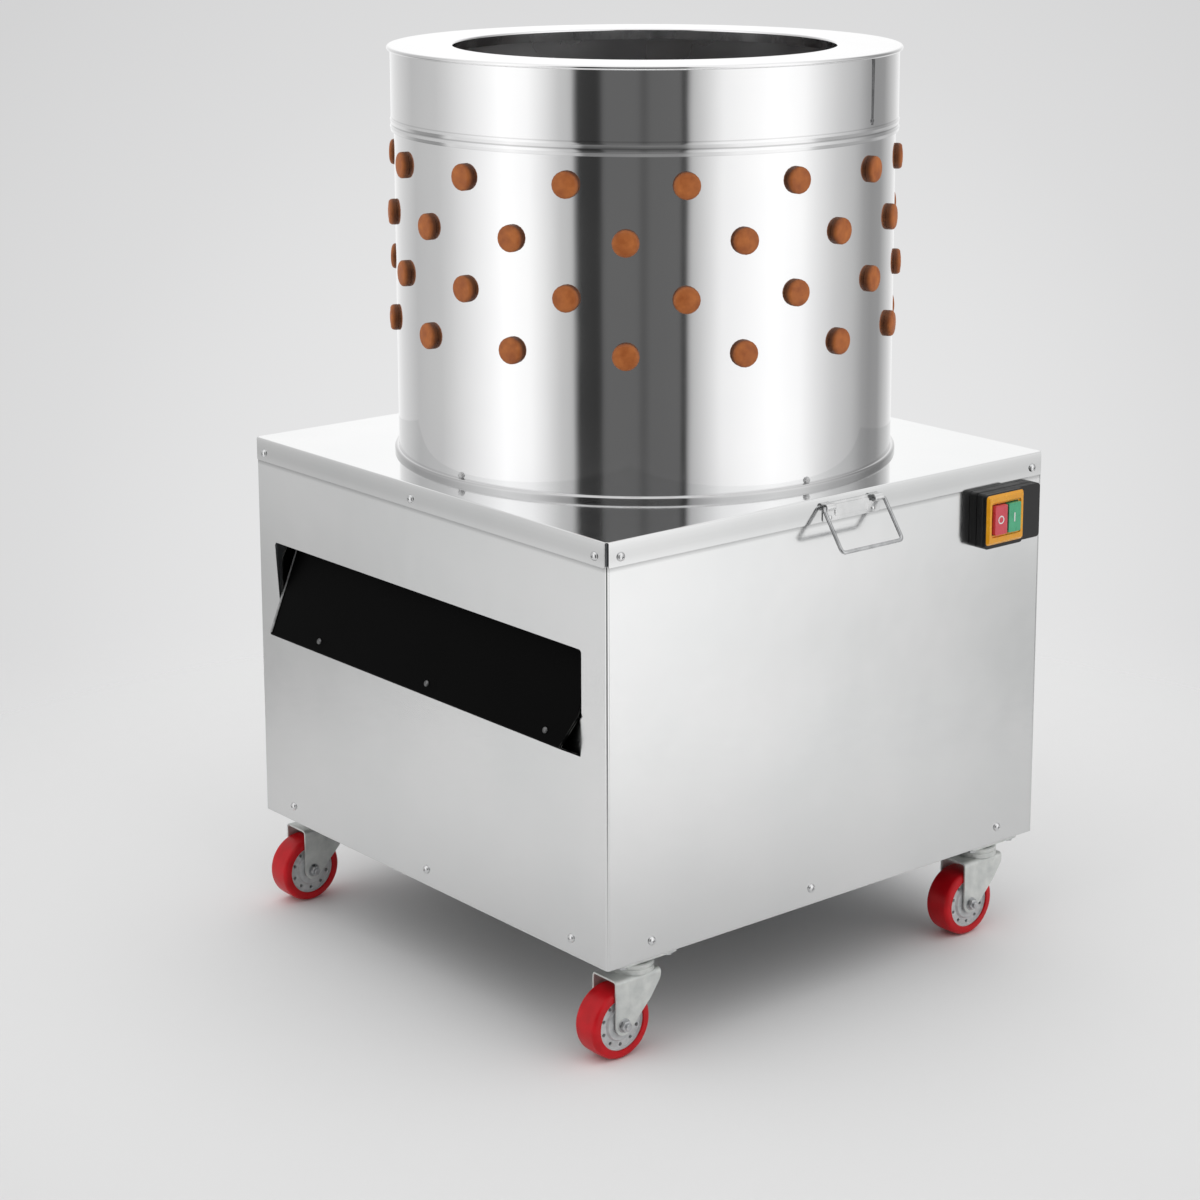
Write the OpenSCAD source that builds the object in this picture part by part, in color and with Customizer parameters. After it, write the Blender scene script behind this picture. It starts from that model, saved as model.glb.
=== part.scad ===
// Drum poultry plucker on castors: a rubber-fingered drum stands on a square sheet-metal cabinet.
// A fingered turntable spins in the drum on a vertical shaft, belt-driven by a motor in the cabinet.
// Origin on the floor under the drum's axis, +Z up, feather outlet towards -Y, switch towards +X.

/* [Cabinet] */
// Width and depth of the square deck
deck_w = 690; // [670:1:740]
// Height from the frame's underside to the top of the deck
cabinet_h = 488; // [475:1:540]
// Thickness of the sheet of the deck and the panels
sheet_t = 1.2; // [0.8:0.1:2]
// Height of the deck's folded lips
lip_h = 29; // [26:1:40]
// Radius of the lips' lower corners
lip_corner_r = 6; // [3:1:10]
// Open slit beside the end of each lip
lip_slit = 2; // [1:0.5:4]
// Leg width of the frame's angle iron
angle_leg = 35; // [32:1:37]
// Thickness of the frame's angle iron
angle_t = 3; // [2:0.5:5]
// Thickness of the corner pads that carry the castors
pad_t = 4; // [3:0.5:8]
// Length of a corner pad along each side
pad_w = 112; // [106:1:130]

/* [Cabinet screws] */
// Head diameter of the cabinet screws
screw_head_d = 9; // [7:0.5:12]
// Head height of the cabinet screws
screw_head_h = 2.4; // [1.5:0.1:4]
// Shank diameter of the cabinet screws
screw_d = 4.8; // [3:0.1:6]
// Shank length of the cabinet screws
screw_l = 9; // [7:0.5:14]
// Depth of the lip screws below the top of the deck
lip_screw_drop = 18; // [12:0.5:20]
// Distance of the outer lip screws from the deck's corners
lip_screw_in = 20; // [19:1:33]
// Offset of the middle lip screw on the front and back
lip_screw_mid = -13; // [-30:1:30]
// Height of the low panel screws above the panels' lower edge
low_screw_rise = 20; // [14:1:30]
// Distance of the outer low screws from the cabinet's corners
low_screw_in = 65; // [55:1:105]
// Offset of the middle low screw on the front and back
low_screw_mid = 5; // [-30:1:30]
// Offset of the middle low screw on the sides
side_screw_mid = -36; // [-60:1:60]

/* [Outlet] */
// Width of the feather outlet in the front panel
outlet_w = 600; // [560:1:604]
// Depth of the outlet's top edge below the top of the deck
outlet_drop = 129; // [120:1:140]
// Radius of the outlet's upper corners
outlet_corner_r = 4; // [2:1:10]
// Thickness of the chute's sheet
chute_t = 2; // [1.5:0.5:3]
// Slope of the chute's steep face from the horizontal
chute_slope = 68; // [62:1:72]
// Depth below the deck where the chute's face leaves the panel
chute_drop = 200; // [190:1:215]
// Reach of the chute's lip out of the front panel
chute_out = 17.2; // [10:0.2:24]
// Reach of the chute's upper end into the cabinet
chute_in = 130; // [110:1:150]
// Height of the chute's folded side flanges at their upper end
chute_flange = 26; // [10:1:40]
// Gap between the chute and the outlet at each side
chute_gap = 2; // [1:0.5:5]
// Head diameter of the chute's rivets
rivet_head_d = 8; // [5:0.5:12]
// Shank diameter of the chute's rivets
rivet_d = 4; // [3:0.5:6]
// Distance of the rivets from the chute's lip
rivet_up = 14; // [10:1:30]
// Place of the first rivet along the lip
rivet_first = -195; // [-240:1:-150]
// Spacing of the three rivets
rivet_step = 223; // [180:1:240]

/* [Drum] */
// Inner diameter of the drum
drum_d = 600; // [580:1:604]
// Wall of the drum
drum_wall = 1.5; // [1:0.1:3]
// Height of the drum's shell above the deck
drum_h = 400; // [395:1:500]
// Thickness of the rolled bead at the drum's foot
foot_bead_d = 5; // [3:0.5:8]
// Height of the collar above the drum's shell
collar_h = 90.5; // [60:0.5:140]
// Overlap of the collar over the drum's shell
collar_lap = 6.7; // [5:0.1:12]
// Gap between the collar's wall and the drum's shell
collar_stand = 1.9; // [1:0.1:4]
// Diameter of the two beads pressed in the collar
bead_d = 4.4; // [3:0.1:5]
// Spacing of the two beads
bead_step = 8.8; // [8:0.1:14]
// Diameter of the mouth in the rim
mouth_d = 460; // [400:1:520]
// Overhang of the rim past the collar
rim_over = 4.1; // [3:0.1:8]
// Diameter of the rolled edge of the rim
rim_roll_d = 5; // [4:0.5:6]
// Depth of the turned-down edge of the mouth
mouth_turn = 12; // [6:1:20]
// Height of the foot bolts above the deck
foot_bolt_rise = 10; // [9:0.5:16]
// Diameter of the foot bolts
foot_bolt_d = 4; // [3:0.5:6]
// Head diameter of the foot bolts
foot_bolt_head_d = 7.5; // [7:0.5:11]
// Head height of the foot bolts
foot_bolt_head_h = 3; // [2:0.5:4]
// Bearing of the first pair of foot bolts
foot_bolt_a = -85; // [-110:1:-70]
// Bearing of the second pair of foot bolts
foot_bolt_b = -2; // [-20:1:20]

/* [Rubber fingers] */
// Rows of fingers round the drum
finger_rows = 4; // [2:1:4]
// Fingers in each row
finger_count = 14; // [10:1:16]
// Height of the lowest row above the deck
finger_first = 167; // [160:1:180]
// Drop of the top row below the drum's head
finger_top = 41; // [34:1:60]
// Bearing of a finger in the top row
finger_phase = -5.6; // [-12:0.1:12]
// Diameter of a finger's outer head
finger_head_d = 30; // [26:1:34]
// Height of a finger's outer head
finger_head_h = 9; // [6:0.5:12]
// Rounding of a finger's outer head
finger_head_r = 3; // [1:0.5:5]
// Diameter of a finger hole
finger_hole_d = 22; // [20.5:0.5:23]
// Diameter of a finger's inner flange
finger_flange_d = 26; // [25:0.5:30]
// Height of a finger's inner flange
finger_flange_h = 6; // [3:0.5:10]
// Diameter of a finger at its root
finger_root_d = 20; // [16:0.5:22]
// Diameter of a finger at its tip
finger_tip_d = 12; // [8:0.5:15]
// Reach of a finger past the sheet that holds it
finger_reach = 85; // [60:1:92]

/* [Turntable] */
// Radial gap between the turntable and the drum
table_gap = 12; // [8:1:20]
// Height of the turntable's underside above the deck
table_rise = 34; // [30:1:44]
// Thickness of the turntable
table_t = 3; // [2:0.5:6]
// Radius of the innermost ring of table fingers
table_ring_first = 100; // [90:1:110]
// Spacing of the rings of table fingers
table_ring_step = 75; // [60:1:78]
// Fingers in the innermost ring, and added in each ring after it
table_ring_count = 6; // [4:1:7]
// Diameter of the boss under the turntable
boss_d = 80; // [60:1:100]
// Height of the boss under the turntable
boss_h = 44; // [30:1:60]
// Diameter of the cap over the shaft's end
cap_d = 84; // [60:1:110]
// Height of the cap over the shaft's end
cap_h = 24; // [16:1:40]
// Diameter of the main shaft
shaft_d = 35; // [25:1:40]
// Length of the shaft that stands above the turntable
shaft_stand = 12; // [6:1:14]
// Inner end of the sweep paddles
paddle_from = 165; // [140:1:200]
// Gap between the paddles and the drum's inside
paddle_gap = 15; // [12:1:30]
// Gap between the paddles and the pan's floor
paddle_lift = 7; // [4:1:15]
// Thickness of the sweep paddles
paddle_t = 3; // [2:0.5:6]

/* [Feather pan] */
// Depth of the pan's floor below the top of the deck
pan_depth = 66; // [60:1:80]
// Wall of the pan
pan_wall = 1.5; // [1:0.1:3]
// Height of the pan's rim above the deck
pan_rise = 25; // [18:1:28]
// Width of the window in the pan's wall
window_w = 400; // [300:5:440]
// Wall left above the window
window_margin = 8; // [4:1:20]

/* [Bearings and beams] */
// Width of a cross beam
beam_w = 40; // [30:1:50]
// Height of a cross beam
beam_h = 50; // [40:1:60]
// Wall of a cross beam
beam_wall = 3; // [2:0.5:5]
// Distance of each cross beam from the shaft's axis
beam_y = 75; // [74:1:90]
// Width of the bearing housing's flange
housing_flange_w = 210; // [200:1:230]
// Thickness of the bearing housing's flange
housing_flange_t = 12; // [8:1:16]
// Outer diameter of the bearing housing
housing_d = 96; // [90:1:100]
// Length of the bearing housing above its flange's foot
housing_up = 41; // [30:1:46]
// Length of the bearing housing below the beams
housing_down = 64; // [50:1:80]
// Outer diameter of a bearing
bearing_d = 72; // [62:1:80]
// Width of a bearing
bearing_w = 17; // [12:1:22]
// Reduction of the housing's bore between the bearings
shoulder = 6; // [3:0.5:8]
// Side-to-side spacing of the housing bolts
housing_bolt_x = 160; // [120:1:180]

/* [Belt drive] */
// Pitch diameter of the driven pulley
driven_pitch_d = 260; // [220:2:300]
// Pitch diameter of the motor pulley
motor_pitch_d = 56; // [50:1:80]
// Distance of the motor's axis from its plate
motor_stand = 91.6; // [91:0.2:98]
// Top width of the belt's V-groove
belt_w = 13; // [10:0.5:17]
// Height of the belt
belt_h = 8; // [6:0.5:11]
// Half angle of the V-groove
groove_angle = 17; // [15:1:20]
// Clearance of the belt in its grooves
belt_gap = 0.3; // [0.2:0.05:0.8]
// Width of the pulleys' rims
pulley_w = 22; // [20:1:30]
// Thickness of the driven pulley's web
web_t = 8; // [5:1:14]
// Height of the driven pulley's hub
pulley_hub_h = 34; // [26:1:40]
// Diameter of the driven pulley's hub
pulley_hub_d = 64; // [50:1:80]
// Gap between the driven pulley and the bearing housing
pulley_gap = 10; // [4:1:16]

/* [Motor] */
// Diameter of the motor's body
motor_d = 164; // [140:2:166]
// Height of the motor's body
motor_h = 200; // [180:2:206]
// Gap between the motor's body and its pulley
motor_gap = 14; // [8:1:24]
// Diameter of the motor's shaft
motor_shaft_d = 24; // [18:1:28]
// Height of the fan cover under the motor
fan_h = 26; // [18:1:28]
// Wall of the fan cover
fan_wall = 1.5; // [1:0.1:3]
// Width of the motor's foot flange
foot_w = 130; // [110:1:150]
// Height of the motor's foot flange
foot_h = 130; // [110:1:136]
// Thickness of the motor's foot flange
foot_t = 8; // [5:1:8]
// Width of the motor plate
motor_plate_w = 240; // [220:2:300]
// Height of the motor plate
motor_plate_h = 190; // [180:2:200]
// Thickness of the motor plate
motor_plate_t = 6; // [4:1:8]
// Depth of the bars that carry the motor plate
motor_bar_d = 20; // [16:1:22]
// Height of the bars that carry the motor plate
motor_bar_h = 30; // [20:1:40]
// Depth of the terminal box
terminal_d = 42; // [30:1:60]
// Width of the terminal box
terminal_w = 76; // [60:1:90]
// Height of the terminal box
terminal_h = 92; // [70:1:110]
// Diameter of the capacitor
capacitor_d = 42; // [30:1:50]
// Height of the capacitor
capacitor_h = 96; // [70:1:110]

/* [Switch] */
// Distance of the switch's middle from the back of the deck
switch_in = 70.4; // [60:0.2:105]
// Gap between the lip and the switch below it
switch_gap = 4.4; // [0.2:0.2:30]
// Width of the switch housing
switch_w = 101.4; // [94:0.2:120]
// Height of the switch housing
switch_h = 67.4; // [60:0.2:80]
// Depth of the switch housing
switch_d = 16; // [14:0.5:45]
// Corner radius of the switch housing
switch_r = 4; // [2:0.5:8]
// Wall of the switch housing
switch_wall = 2.5; // [1.5:0.5:4]
// Width of the button plate
plate_w = 64; // [56:1:72]
// Height of the button plate
plate_h = 56; // [48:1:60]
// Thickness of the button plate
plate_t = 9; // [5:0.5:12]
// Width of a button
button_w = 21; // [16:0.5:23]
// Height of a button
button_h = 36; // [26:0.5:40]
// Spacing of the two buttons
button_step = 23.5; // [23.5:0.5:26]
// Height of the buttons above their plate
button_stand = 3; // [2:0.5:6]
// Travel of a button
button_travel = 2.5; // [1.5:0.5:4]
// Clearance round a button
button_gap = 0.3; // [0.2:0.05:0.6]
// Thickness of the collar that holds a button in
button_collar_t = 3; // [2:0.5:5]
// Overhang of the collar that holds a button in
button_collar_w = 0.8; // [0.5:0.1:0.9]

/* [Handles] */
// Offset of the handles from the middle of the side
handle_y = 18.5; // [-40:0.5:60]
// Depth of the handle's hinge below the deck
handle_drop = 11.5; // [8:0.5:14]
// Width of the bail between the middles of its legs
bail_w = 96; // [80:1:140]
// Length of the bail's legs
bail_l = 56; // [40:1:80]
// Diameter of the bail's wire
wire_d = 4.5; // [3:0.5:7]
// Angle of the bail out from the panel
bail_angle = 35; // [32:1:60]
// Length of each end of the bail in its knuckle
bail_end = 15; // [10:1:20]
// Gap between the bail's legs and the knuckles
bail_gap = 0.4; // [0.3:0.1:2]
// Outer diameter of the hinge knuckles
knuckle_d = 8.8; // [8:0.2:11]
// Length of the hinge knuckles
knuckle_l = 14; // [8:1:20]
// Height of the handle's bracket
bracket_h = 22; // [18:1:24]
// Thickness of the handle's bracket
bracket_t = 1.5; // [1:0.1:3]

/* [Castors] */
// Height of a castor, from the floor to the frame
castor_h = 118; // [116:1:130]
// Diameter of a castor's wheel
wheel_d = 83; // [74:1:84]
// Width of a castor's tread
wheel_w = 36; // [28:1:38]
// Rounding of the tread's shoulders
tread_r = 6; // [3:0.5:8]
// Diameter of the wheel's hub
hub_d = 64; // [46:1:66]
// Recess of the hub's faces inside the tread
hub_recess = 2; // [1:0.5:5]
// Diameter of the hub's boss
hub_boss_d = 18; // [14:1:24]
// Holes in the hub's disc
hub_holes = 10; // [6:1:12]
// Diameter of the holes in the hub's disc
hub_hole_d = 5; // [3:0.5:7]
// Distance of the castors' pivots from the left and right sides
castor_side = 34; // [34:1:44]
// Distance of the castors' pivots from the front and back
castor_end = 65; // [60:1:68]
// Trail of the wheel behind the pivot
castor_trail = 30; // [22:1:36]
// Diameter of the axle bolt
axle_d = 8; // [6:1:10]
// Thickness of the fork's sheet
fork_t = 2.5; // [2:0.5:4]
// Radius of the fork's eye round the axle
fork_eye_r = 12; // [10:1:14]
// Reach of the fork behind the pivot
fork_back = 24; // [24:1:30]
// Diameter of the swivel race
race_d = 48; // [40:1:52]
// Height of the swivel race
race_h = 12; // [8:1:14]
// Diameter of the kingpin
kingpin_d = 12; // [8:1:16]
// Height of the kingpin's head
kingpin_head_h = 4; // [3:0.5:6]
// Length of a castor's top plate
plate_l = 84; // [80:1:92]
// Width of a castor's top plate
castor_plate_w = 62; // [58:1:66]
// Thickness of a castor's top plate
castor_plate_t = 3.5; // [2.5:0.5:5]
// Spacing of a castor's bolts along its plate
castor_bolt_l = 66; // [60:1:70]
// Spacing of a castor's bolts across its plate
castor_bolt_w = 44; // [40:1:45]

/* [Cable gland] */
// Offset of the cable gland from the middle of the back
gland_x = 220; // [-280:5:280]
// Height of the cable gland above the motor's lower bar
gland_rise = 30.5; // [20:0.5:50]
// Diameter of the cable hole
gland_bore_d = 10; // [6:0.5:12]
// Diameter of the gland's thread
gland_d = 20; // [18:0.5:22]
// Width of the gland's nuts across their corners
gland_nut_d = 27; // [25:1:32]
// Reach of the gland out of the back panel
gland_out = 17.5; // [12:0.5:24]
// Reach of the gland into the cabinet
gland_in = 9; // [6:0.5:14]
// Thickness of the gland's nuts
gland_nut_t = 6; // [4:0.5:6]

/* [Fits and bolts] */
// Radial clearance of a turning fit
run_gap = 0.05; // [0.02:0.01:0.1]
// Radial clearance of a fixed fit
fit_gap = 0.02; // [0.01:0.01:0.05]
// End clearance between pieces that turn past each other
end_gap = 0.3; // [0.2:0.05:0.6]
// Diameter of the frame bolts
bolt_d = 6; // [5:0.5:8]
// Width of a bolt's head across its corners
bolt_head_d = 11; // [10:0.5:13]
// Height of a bolt's head
bolt_head_h = 4; // [3:0.5:6]

/* [Hidden] */
$fn = 96;
cut = 1;
half = deck_w / 2;
panel_out = half - sheet_t;
panel_in = panel_out - sheet_t;
deck_top = castor_h + cabinet_h;
deck_low = deck_top - sheet_t;
pad_top = castor_h + pad_t;
rail_l = 2 * (panel_in - angle_leg);
lip_l = 2 * (panel_out - lip_slit);
lip_screw_reach = half - lip_screw_in;
low_screw_reach = half - low_screw_in;
lip_screw_z = deck_top - lip_screw_drop;
low_screw_z = castor_h + low_screw_rise;
screw_r = screw_d / 2;
bolt_r = bolt_d / 2;

drum_r = drum_d / 2;
drum_out = drum_r + drum_wall;
drum_top = deck_top + drum_h;
collar_in = drum_out + collar_stand;
collar_out = collar_in + drum_wall;
rim_low = drum_top + collar_h;
rim_top = rim_low + drum_wall;
rim_out = collar_out + rim_over;
mouth_r = mouth_d / 2;
finger_pitch = 360 / finger_count;
finger_step = (drum_h - finger_top - finger_first) / (finger_rows - 1);
finger_hole_r = finger_hole_d / 2;
// The inner flange clears the curve of the drum's inside.
finger_sag = drum_r - sqrt(pow(drum_r, 2) - pow(finger_flange_d / 2, 2)) + fit_gap;

shaft_r = shaft_d / 2;
table_r = drum_r - table_gap;
table_low = deck_top + table_rise;
table_top = table_low + table_t;
table_rings = [0 : 2];
pan_out = drum_r - run_gap;
pan_in = pan_out - pan_wall;
pan_floor = deck_top - pan_depth;
pan_low = pan_floor - pan_wall;
window_top = deck_low - window_margin;

beam_low = pan_low - beam_h;
housing_low = beam_low - housing_down;
housing_top = beam_low + housing_up;
bearing_r = bearing_d / 2;
pulley_hub_top = housing_low - pulley_gap;
belt_z = pulley_hub_top - pulley_hub_h / 2;
driven_r = driven_pitch_d / 2;
motor_pulley_r = motor_pitch_d / 2;
belt_centres = panel_in - motor_bar_d - motor_plate_t - motor_stand;
belt_lean = asin((driven_r - motor_pulley_r) / belt_centres);
belt_steps = 60;
belt_low = belt_w / 2 - belt_h * tan(groove_angle);
motor_shaft_r = motor_shaft_d / 2;
motor_top = belt_z - pulley_w / 2 - motor_gap;
motor_low = motor_top - motor_h;
motor_mid = motor_top - motor_h / 2;
motor_plate_back = panel_in - motor_bar_d;
motor_plate_front = motor_plate_back - motor_plate_t;
motor_bar_step = motor_plate_h / 2 - motor_bar_h / 2;
foot_bolt_x = foot_w / 2 - bolt_head_d;
foot_bolt_z = foot_h / 2 - bolt_head_d;
plate_bolt_x = motor_plate_w / 2 - 1.5 * bolt_head_d;

chute_w = outlet_w - 2 * chute_gap;
chute_cross_z = deck_top - chute_drop;
outlet_top = deck_top - outlet_drop;
outlet_low = chute_cross_z - chute_t / cos(chute_slope) - chute_gap;
chute_lip = [-panel_out - chute_out, chute_cross_z - chute_out * tan(chute_slope)];
chute_bend_z = outlet_top + 2 * chute_gap;
chute_bend = [(chute_bend_z - chute_cross_z) / tan(chute_slope) - panel_out, chute_bend_z];
chute_end = [chute_in - panel_out, pan_low];
chute_tuck = [chute_in + 15 - panel_out, pan_low];
chute_foot = [-panel_out, chute_lip[1] - chute_out / 2];
// Unit normals of the chute's tucked, gentle, steep and returned faces, towards the sheet's other side.
chute_lean = atan2(chute_end[1] - chute_bend[1], chute_end[0] - chute_bend[0]);
tuck_side = [0, -1];
lean_side = [sin(chute_lean), -cos(chute_lean)];
steep_side = [sin(chute_slope), -cos(chute_slope)];
return_lean = atan2(chute_lip[1] - chute_foot[1], chute_foot[0] - chute_lip[0]);
return_side = [sin(return_lean), cos(return_lean)];

switch_y = half - switch_in;
switch_z = deck_top - lip_h - switch_gap - switch_h / 2;
switch_front = panel_out + switch_d;
plate_y = switch_y - switch_w / 2 + plate_w / 2;
plate_front = switch_front + plate_t;
plate_z = switch_z + 2;
button_front = plate_front + button_stand;
button_back = switch_front - switch_wall - end_gap;

hinge_x = half + knuckle_d / 2;
hinge_z = deck_top - handle_drop;
wire_r = wire_d / 2;
bracket_w = bail_w - wire_d - 2 * bail_gap;

pivot_x = half - castor_side;
pivot_y = half - castor_end;
wheel_r = wheel_d / 2;
hub_r = hub_d / 2;
axle_r = axle_d / 2;
fork_in = wheel_w / 2 + 2 * end_gap;
fork_out = fork_in + fork_t;
castor_plate_low = castor_h - castor_plate_t;
race_low = castor_plate_low - race_h / 2;
fork_top = race_low - end_gap;
crown_top = fork_top - race_h;
crown_low = crown_top - 2 * fork_t;
kingpin_low = crown_low - end_gap;
front_left = [-pivot_x, -pivot_y];
front_right = [pivot_x, -pivot_y];
back_left = [-pivot_x, pivot_y];
back_right = [pivot_x, pivot_y];
castors = [front_left, front_right, back_left, back_right];
gland_z = motor_mid - motor_bar_step + motor_bar_h / 2 + gland_rise;

// A rectangle with round corners, centred on the origin.
module round_rect(w, h, r) {
  square([w - 2 * r, h], center = true);
  square([w, h - 2 * r], center = true);
  for (x = [-1, 1], y = [-1, 1])
    translate([x * (w / 2 - r), y * (h / 2 - r)])
      circle(r = r);
}

// Lays a section drawn in (y, z) along X, centred, over the given length.
module along_x(l) {
  translate([-l / 2, 0, 0])
    rotate([90, 0, 90])
      linear_extrude(l)
        children();
}

// Turns a piece made for the front face onto each of the given faces.
module on_faces(faces) {
  for (f = faces)
    rotate([0, 0, 90 * f])
      children();
}

// Points a piece that stands on +Z inwards through the front face.
module into_front() {
  rotate([-90, 0, 0])
    children();
}

// Screw places along a face: the front and back have a middle lip screw, the sides have the handle.
function lip_screws(f) =
  f % 2 == 0 ? [-lip_screw_reach, lip_screw_mid, lip_screw_reach] : [-lip_screw_reach, lip_screw_reach];
function low_screws(f) =
  [-low_screw_reach, f % 2 == 0 ? low_screw_mid : side_screw_mid, low_screw_reach];

module at_lip_screws(f) {
  for (x = lip_screws(f))
    translate([x, -half, lip_screw_z])
      into_front()
        children();
}

module at_low_screws(f) {
  for (x = low_screws(f))
    translate([x, -panel_out, low_screw_z])
      into_front()
        children();
}

// The holes that the cabinet screws pass through, on one face.
module screw_holes(f) {
  at_lip_screws(f)
    translate([0, 0, -cut])
      cylinder(r = screw_r + fit_gap, h = screw_l + 2 * cut);
  at_low_screws(f)
    translate([0, 0, -cut])
      cylinder(r = screw_r + fit_gap, h = screw_l + 2 * cut);
}

module all_screw_holes() {
  for (f = [0 : 3])
    on_faces([f])
      screw_holes(f);
}

module angle_section() {
  square([angle_leg, angle_t]);
  square([angle_t, angle_leg]);
}

// A bolt along +Z: its head lies below z = 0 and its nut at the far end of the grip.
module bolt(r, grip, head_d, head_h) {
  translate([0, 0, -head_h])
    cylinder(d = head_d, h = head_h, $fn = 6);
  cylinder(r = r, h = grip + head_h + r);
  translate([0, 0, grip])
    cylinder(d = head_d, h = head_h, $fn = 6);
}

module frame_posts() {
  color("slategray")
    difference() {
      for (x = [0, 1], y = [0, 1])
        mirror([x, 0, 0])
          mirror([0, y, 0])
            translate([-panel_in, -panel_in, pad_top])
              linear_extrude(deck_low - pad_top)
                angle_section();
      all_screw_holes();
    }
}

module frame_rails() {
  color("slategray")
    difference() {
      union() {
        on_faces([0 : 3])
          translate([0, -panel_in, pad_top + fit_gap + angle_leg])
            mirror([0, 0, 1])
              along_x(rail_l)
                angle_section();
        on_faces([0 : 3])
          translate([0, -panel_in, deck_low])
            mirror([0, 0, 1])
              along_x(rail_l)
                angle_section();
        on_faces([1, 3])
          translate([0, -panel_in, beam_low])
            mirror([0, 0, 1])
              along_x(rail_l)
                angle_section();
        for (z = [-1, 1])
          translate([-rail_l / 2, panel_in - motor_bar_d, motor_mid + z * motor_bar_step - motor_bar_h / 2])
            cube([rail_l, motor_bar_d, motor_bar_h]);
        castor_pads();
      }
      all_screw_holes();
      at_castor_bolts()
        cylinder(r = bolt_r + fit_gap, h = castor_plate_t + pad_t + cut);
      at_plate_bolts()
        cylinder(r = bolt_r + fit_gap, h = half);
    }
}

module castor_pads() {
  for (x = [0, 1], y = [0, 1])
    mirror([x, 0, 0])
      mirror([0, y, 0])
        translate([-panel_in, -panel_in, castor_h])
          cube([pad_w, pad_w, pad_t]);
}

module at_castor_bolts() {
  for (c = castors, x = [-1, 1], y = [-1, 1])
    translate([c[0] + x * castor_bolt_w / 2, c[1] + y * castor_bolt_l / 2, castor_plate_low])
      children();
}

module at_housing_bolts() {
  for (x = [-1, 1], y = [-1, 1])
    translate([x * housing_bolt_x / 2, y * beam_y, beam_low - housing_flange_t])
      children();
}

module at_plate_bolts() {
  for (x = [-1, 1], z = [-1, 1])
    translate([x * plate_bolt_x, motor_plate_front, motor_mid + z * motor_bar_step])
      into_front()
        children();
}

module at_foot_bolts() {
  for (x = [-1, 1], z = [-1, 1])
    translate([x * foot_bolt_x, motor_plate_front - foot_t, motor_mid + z * foot_bolt_z])
      into_front()
        children();
}

module cross_beams() {
  color("slategray")
    difference() {
      for (y = [-1, 1])
        translate([0, y * beam_y, beam_low + beam_h / 2])
          along_x(2 * panel_in)
            difference() {
              square([beam_w, beam_h], center = true);
              square([beam_w - 2 * beam_wall, beam_h - 2 * beam_wall], center = true);
            }
      at_housing_bolts()
        cylinder(r = bolt_r + fit_gap, h = housing_flange_t + beam_wall + cut);
    }
}

module deck_lip() {
  drop = lip_h - sheet_t;
  translate([0, -panel_out, deck_low])
    rotate([90, 0, 0])
      linear_extrude(sheet_t) {
        translate([0, -drop / 2])
          round_rect(lip_l, drop, lip_corner_r);
        translate([-lip_l / 2, -drop / 2])
          square([lip_l, drop / 2 + sheet_t / 2]);
      }
}

module deck_plate() {
  color("gainsboro")
    difference() {
      union() {
        translate([-half, -half, deck_low])
          cube([deck_w, deck_w, sheet_t]);
        on_faces([0 : 3])
          deck_lip();
      }
      translate([0, 0, deck_low - cut])
        cylinder(r = drum_r, h = sheet_t + 2 * cut);
      all_screw_holes();
    }
}

// A plain panel for the front face, of the given width.
module panel_sheet(w) {
  translate([-w / 2, -panel_out, castor_h])
    cube([w, sheet_t, deck_low - castor_h]);
}

module outlet_cut() {
  translate([0, -panel_out + sheet_t + cut, outlet_top])
    rotate([90, 0, 0])
      linear_extrude(sheet_t + 2 * cut) {
        translate([0, (outlet_low - outlet_top) / 2])
          round_rect(outlet_w, outlet_top - outlet_low, outlet_corner_r);
      }
}

module front_panel() {
  color("silver")
    difference() {
      panel_sheet(2 * panel_out);
      outlet_cut();
      screw_holes(0);
    }
}

module back_panel() {
  color("silver")
    on_faces([2])
      difference() {
        panel_sheet(2 * panel_out);
        screw_holes(2);
        translate([-gland_x, -panel_out - cut, gland_z])
          into_front()
            cylinder(d = gland_d + 2 * fit_gap, h = sheet_t + 2 * cut);
      }
}

module right_panel() {
  color("silver")
    on_faces([1])
      difference() {
        panel_sheet(2 * panel_in);
        screw_holes(1);
      }
}

module left_panel() {
  color("silver")
    on_faces([3])
      difference() {
        panel_sheet(2 * panel_in);
        screw_holes(3);
      }
}

module cabinet_screw() {
  translate([0, 0, -screw_head_h])
    cylinder(d = screw_head_d, h = screw_head_h);
  cylinder(r = screw_r, h = screw_l);
}

module cabinet_screws() {
  color("white")
    for (f = [0 : 3])
      on_faces([f]) {
        at_lip_screws(f)
          cabinet_screw();
        at_low_screws(f)
          cabinet_screw();
      }
}

// The place under a bend of the chute, a depth d below the faces with normals m and n.
function under(p, m, n, d) = p + d * (m + n) / (1 + m * n);

// The bent sheet of the chute, drawn in (y, z).
module chute_section() {
  polygon([
    chute_tuck,
    chute_end,
    chute_bend,
    chute_lip,
    chute_foot,
    chute_foot + [0, chute_t / return_side[1]],
    under(chute_lip, steep_side, return_side, chute_t),
    under(chute_bend, steep_side, lean_side, chute_t),
    under(chute_end, lean_side, tuck_side, chute_t),
    chute_tuck + chute_t * tuck_side
  ]);
}

// The side plates of the chute, which start from the middle of its sheet.
module chute_sides() {
  lip = under(chute_lip, steep_side, return_side, chute_t / 2);
  bend = under(chute_bend, steep_side, lean_side, chute_t / 2);
  wall = -panel_out - end_gap;
  run = (wall - lip[0]) * tan(chute_slope);
  drop = (wall - lip[0]) * tan(return_lean);
  for (side = [-1, 1])
    translate([side * (chute_w / 2 - 0.75 * chute_t), 0, 0])
      along_x(chute_t) {
        polygon([lip, bend, bend + [0, chute_flange]]);
        polygon([lip, [wall, lip[1] - drop], [wall, lip[1] + run]]);
      }
}

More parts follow.
